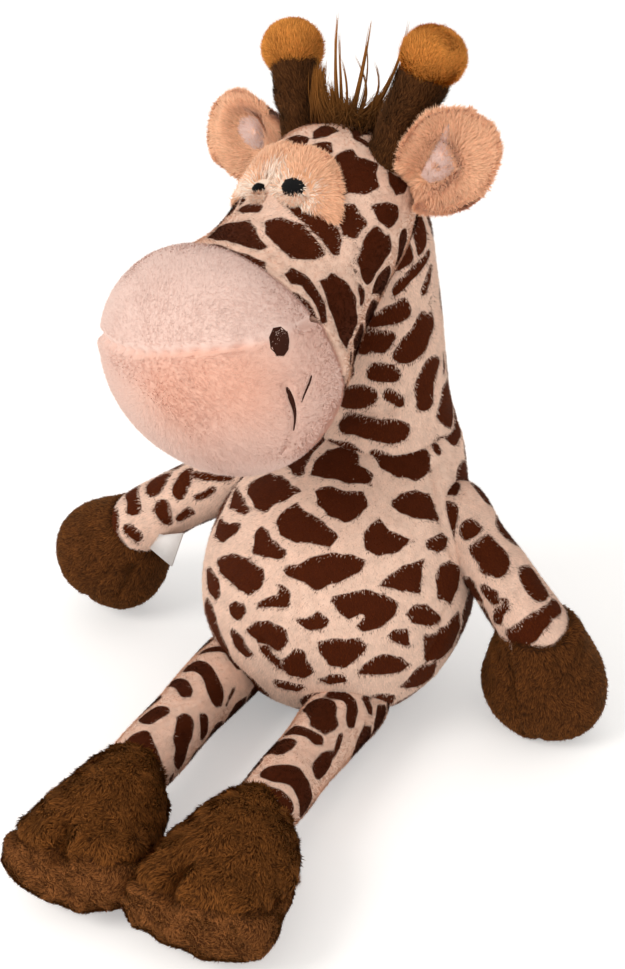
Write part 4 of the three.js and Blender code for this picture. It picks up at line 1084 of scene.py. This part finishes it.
def make_horn(side, sign):
    place = HEAD_PLACE @ placed(Vector((sign * HORN_SPREAD[side], -HORN_FORWARD, HORN_UP)), "ZYX",
                                -HORN_BACK, sign * HORN_OUT[side], 0)
    along = place.to_3x3().col[2]
    rings = [ring(Vector((0, 0, z)), Vector((1, 0, 0)), Vector((0, 1, 0)), r, r) for z, r in (
        (-HORN_SINK, 7.5), (-HORN_SINK + 2, 8.5), (4, 8.6), (16, 9.0), (30, 9.8), (39, 10.6), (44.5, 10.6),
        (46, 7.5))]
    skin = Skin("horn_" + side, loft(rings, 24), place, levels=3)
    skin.lumps(9, 0.5, 81 + sign)
    piece = pile(skin, 24000, 5.0, 0.55, 58, bent=True, seed=83 + sign, stray=0.22, swirl=(7, 0.4), comb=along)
    dress(piece, "head", ["horn_" + side], HORN)
    centre = Vector((0, 0, HORN_REACH[side]))
    rings = [ring(centre + Vector((0, 0, -TIP_HIGH * math.cos(turn))), Vector((1, 0, 0)), Vector((0, 1, 0)),
                  TIP_RADIUS * math.sin(turn) ** 0.8, TIP_RADIUS * math.sin(turn) ** 0.8)
             for turn in (0.25, 0.6, 1.0, 1.5, 2.0, 2.5, 2.9)]
    tip = Skin("horn_tip_" + side, loft(rings, 20), place, levels=2)
    tip.lumps(12, 0.5, 85 + sign)
    piece = pile(tip, 26000, 4.6, 0.42, 50, bent=True, seed=87 + sign, swirl=(9, 0.5), stray=0.32, comb=along)
    dress(piece, "head", ["horn_tip_" + side], GOLD)


def rolled(flat, sign):
    """The ear's sheet, rolled up tightly at its root and opening out towards its end."""
    x, y, z = flat.T
    radius = EAR_ROLL_ROOT + (EAR_ROLL_END - EAR_ROLL_ROOT) * np.clip(z / EAR_LENGTH, 0, 1) ** 0.6
    turn = x / radius
    x = (radius + y) * np.sin(turn)
    y = EAR_BACK_DEEP - radius + (radius + y) * np.cos(turn)
    return np.stack([x, y, z], axis=1)


def make_ear(side, sign):
    place = HEAD_PLACE @ placed(Vector((sign * EAR_SPREAD, -EAR_FORWARD, EAR_UP)), "XYZ",
                                -EAR_OPEN, sign * (90 - EAR_RISE[side]), -sign * EAR_SWEEP[side])
    form = bmesh.new()
    bmesh.ops.create_uvsphere(form, u_segments=40, v_segments=24, radius=1)
    bmesh.ops.scale(form, vec=(EAR_WIDE[side], EAR_THICK, (EAR_LENGTH + EAR_SINK) / 2), verts=form.verts)
    bmesh.ops.translate(form, vec=(0, 0, (EAR_LENGTH - EAR_SINK) / 2), verts=form.verts)
    skin = Skin("ear_" + side, form, levels=2)
    flat = skin.local
    spread = np.stack([flat[:, 0] * 1.2, np.zeros(len(flat)), flat[:, 2] - 4], axis=1)
    ahead = moved(rolled(flat + 0.02 * spread, sign), place)
    skin.points = moved(rolled(flat, sign), place)
    ways = ahead - skin.points
    skin.refresh()
    skin.lumps(14, 0.7, 91 + sign)
    edge = skin.hit(LINING_PX[side])
    middle = edge.mean(axis=0)
    beside = nearest_on(skin.points, np.vstack([edge, edge[:1]]))[0]
    inner = flat[:, 1] < 0
    within = np.linalg.norm(skin.points - middle, axis=1) < 7
    skin.push(np.where(inner & ~within, 2.6 * np.exp(-((beside - 7) / 4.5) ** 2), 0))
    lining = badge("ear_lining_" + side, skin.hit(LINING_PX[side]), skin.tree(), 1.5)
    piece = pile(skin, 45000, 4.8, 0.5, 66, bent=True, seed=93 + sign, swirl=(8, 0.35), stray=0.15, comb=ways,
                 grows=clear_of(skin, [lining], 0.2))
    dress(piece, "head", ["ear_" + side], PEACH)
    piece = pile(lining, 9000, 2.6, 0.4, 64, seed=95 + sign, stray=0.25,
                 comb=unit(lining.points - lining.points.mean(axis=0)))
    dress(piece, "head", ["ear_lining_" + side], PALE)


def bald(name):
    """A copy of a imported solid's mesh, merged, as a form."""
    form = bmesh.new()
    form.from_mesh(frame["nodes"][name].data)
    bmesh.ops.remove_doubles(form, verts=form.verts, dist=1e-6)
    bmesh.ops.scale(form, vec=(1 / MM, 1 / MM, 1 / MM), verts=form.verts)
    return form


def away_from(skin, other):
    return unit(skin.points - other.points.mean(axis=0))


def make_eye(side, sign, head):
    """A furry patch with its pupil and lower lid, on the head or mirrored to its other side."""
    tree = head.tree()

    def on_head(pixels):
        path = moved(head.hit(pixels), HEAD_PLACE.inverted())
        path[:, 0] = np.maximum(path[:, 0], 0.8)
        return moved(path * np.array([sign, 1, 1]), HEAD_PLACE)[::sign]

    patch = badge("eye_patch_" + side, on_head(PATCH_PX), tree, 1.8)
    pupil = badge("pupil_" + side, on_head(PUPIL_PX) if sign > 0 else head.hit(FAR_PUPIL_PX), tree, 4.4)
    lid = badge("eyelid_" + side, on_head(LID_PX) if sign > 0 else head.hit(FAR_LID_PX), tree, 2.3)
    up = np.array(HEAD_PLACE.to_3x3().col[2])
    away = away_from(patch, pupil)
    pale = 4.5 - nearest_on(patch.points, on_head(PALE_PX))[0]
    piece = pile(patch, 13000, 4.8, 0.5, 66, bent=True, seed=101 + sign, stray=0.14, swirl=(6, 0.35),
                 comb=away + 0.2 * up * (away @ up > -0.2)[:, None], grows=clear_of(patch, [pupil], 1.5),
                 spots=pale * 0.3)
    dress(piece, "head", ["eye_patch_" + side], PEACH)
    dress(pile(pupil, 400, 0.6, 0.3, 60, seed=7), "head", ["pupil_" + side], BLACK)
    piece = pile(lid, 2200, 3.0, 0.5, 60, seed=8, comb=away_from(lid, pupil), stray=0.4,
                 spots=np.full(len(lid.points), 0.1))
    dress(piece, "head", ["eyelid_" + side], PEACH)
    return patch


def on_plane(pixel, at):
    """The place under a pixel, as far from the camera as another place."""
    way = pixel_ray(*pixel)
    return camera_at + way * ((at - camera_at).dot(back_way) / way.dot(back_way))


def make_tuft():
    rng = np.random.default_rng(111)
    base = HEAD_PLACE @ Vector((TUFT_SHIFT, -TUFT_FORWARD, TUFT_UP))
    form = bmesh.new()
    steps = 8
    for width, strands, *pixels in WISPS_PX:
        depth = base + back_way * rng.uniform(-3, 3)
        root, middle, tip = (on_plane(pixel, depth) for pixel in pixels)
        for _ in range(int(strands * max(PILE_SHARE, 0.5))):
            spread = Vector(rng.normal(size=3)) * width * 0.5
            stray = Vector(rng.normal(size=3)) * width * 0.3
            reach = rng.uniform(0.5, 1.0) ** 0.7
            last = None
            for k in range(steps + 1):
                t = k / steps * reach
                at = root * (1 - t) ** 2 + middle * 2 * t * (1 - t) + tip * t * t
                at = at + spread * (1 - t) ** 1.3 + stray * t
                radius = max(0.3 * (1 - k / steps) ** 0.6, 0.05)
                corners = [form.verts.new(at + (right_way * math.cos(a) + back_way * math.sin(a)) * radius)
                           for a in (0.5, 2.6, 4.7)]
                if last:
                    for j in range(3):
                        form.faces.new((last[j], last[(j + 1) % 3], corners[(j + 1) % 3], corners[j]))
                else:
                    form.faces.new(corners[::-1])
                last = corners
            form.faces.new(last)
    skin = Skin("hair_tuft", form, levels=0)
    up = np.array(HEAD_PLACE.to_3x3().col[2])
    # The strands go from the root colour low down to the tip colour higher up: painted shade at the base and painted
    # light on the backlit wisps
    heights = np.clip((skin.points - np.array(base)) @ up / TUFT_LENGTH * 1.3 + 0.02, 0, 1)
    roots = skin.points @ up < np.array(base) @ up + 4
    piece = pile(skin, 300, 5, 0.3, 40, seed=112, comb=up, grows=roots * 1.0)
    tips = piece.data.attributes["tip"]
    values = np.empty(len(piece.data.vertices))
    tips.data.foreach_get("value", values)
    values[:len(heights)] = heights
    tips.data.foreach_set("value", values)
    dress(piece, "head", ["hair_tuft"], HAIR)


def make_label():
    skin = Skin("wrist_label", bald("wrist_label"), levels=0)
    middle = Vector((skin.points.max(axis=0) + skin.points.min(axis=0)) / 2)
    turn = Matrix.Rotation(math.radians(LABEL_TURN), 4, Vector(LABEL_DOWN))
    aside = Matrix.Translation(middle + right_way * LABEL_ASIDE)
    skin.points = moved(skin.points, aside @ turn @ Matrix.Translation(-middle))
    skin.refresh()
    piece = pile(skin, 1, 0.1, 0.1, 60, seed=121)
    dress(piece, "arm_right", ["wrist_label"], LABEL)


make_body()
make_neck()
make_head()
make_muzzle()
for which, way in SIDES.items():
    make_arm(which, way)
    make_hand(which, way)
    make_leg(which, way)
    make_foot(which, way)
    make_horn(which, way)
    make_ear(which, way)
make_tail()
make_tuft()
make_label()


# Floor, lamps and camera
def make_floor():
    form = bmesh.new()
    bmesh.ops.create_grid(form, x_segments=1, y_segments=1, size=6)
    mesh = bpy.data.meshes.new("floor")
    form.to_mesh(mesh)
    form.free()
    floor = linked("floor", mesh)
    material = bpy.data.materials.new("white_paper")
    material.use_nodes = True
    shader = material.node_tree.nodes["Principled BSDF"]
    tree = material.node_tree
    seen = node(tree, "ShaderNodeLightPath").outputs["Is Camera Ray"]
    glow = value(tree, "MULTIPLY", seen, FLOOR_GLOW)
    tree.links.new(glow, shader.inputs["Emission Strength"])
    shader.inputs["Emission Color"].default_value = srgb("#ffffff")
    shader.inputs["Base Color"].default_value = srgb("#f6f5f4")
    shader.inputs["Roughness"].default_value = 0.9
    mesh.materials.append(material)


def make_lamp(name, at, size, power, colour):
    lamp = bpy.data.lights.new(name, "AREA")
    lamp.shape = "DISK"
    lamp.size = size
    lamp.energy = power
    lamp.color = srgb(colour)[:3]
    holder = bpy.data.objects.new(name, lamp)
    holder.location = at
    holder.rotation_euler = (Vector((0, -0.03, 0.15)) - Vector(at)).to_track_quat("-Z", "Y").to_euler()
    bpy.context.scene.collection.objects.link(holder)


def make_world():
    world = bpy.data.worlds.new("studio")
    world.use_nodes = True
    tree = world.node_tree
    tree.nodes.clear()
    path = node(tree, "ShaderNodeLightPath")
    seen = value(tree, "ADD", path.outputs["Is Camera Ray"], path.outputs["Is Glossy Ray"], clamp=True)
    light = node(tree, "ShaderNodeBackground", {"Color": srgb("#fffdfa"), "Strength": 0.74})
    plain = node(tree, "ShaderNodeBackground", {"Color": srgb("#ffffff"), "Strength": 1.0})
    both = node(tree, "ShaderNodeMixShader", {0: seen, 1: light.outputs[0], 2: plain.outputs[0]})
    out = node(tree, "ShaderNodeOutputWorld")
    tree.links.new(both.outputs[0], out.inputs[0])
    bpy.context.scene.world = world


def make_camera():
    camera = bpy.data.cameras.new("camera")
    camera.sensor_width = SENSOR
    camera.lens = FOCAL_PX / PHOTO_HIGH * SENSOR
    camera.shift_x = (PHOTO_WIDE / 2 - CENTRE_PX[0]) / PHOTO_HIGH
    camera.shift_y = (CENTRE_PX[1] - PHOTO_HIGH / 2) / PHOTO_HIGH
    holder = bpy.data.objects.new("camera", camera)
    turn = Matrix((right_way, up_way, back_way)).transposed().to_4x4()
    holder.matrix_world = Matrix.Translation(camera_at * MM) @ turn
    bpy.context.scene.collection.objects.link(holder)
    bpy.context.scene.camera = holder


make_floor()
make_lamp("key", (-0.75, -1.25, 1.2), 0.9, 13.4, "#fffbf6")
make_lamp("fill", (1.1, -1.1, 0.6), 1.2, 5, "#fff8f0")
make_world()
make_camera()
bpy.context.scene.view_settings.view_transform = "Standard"
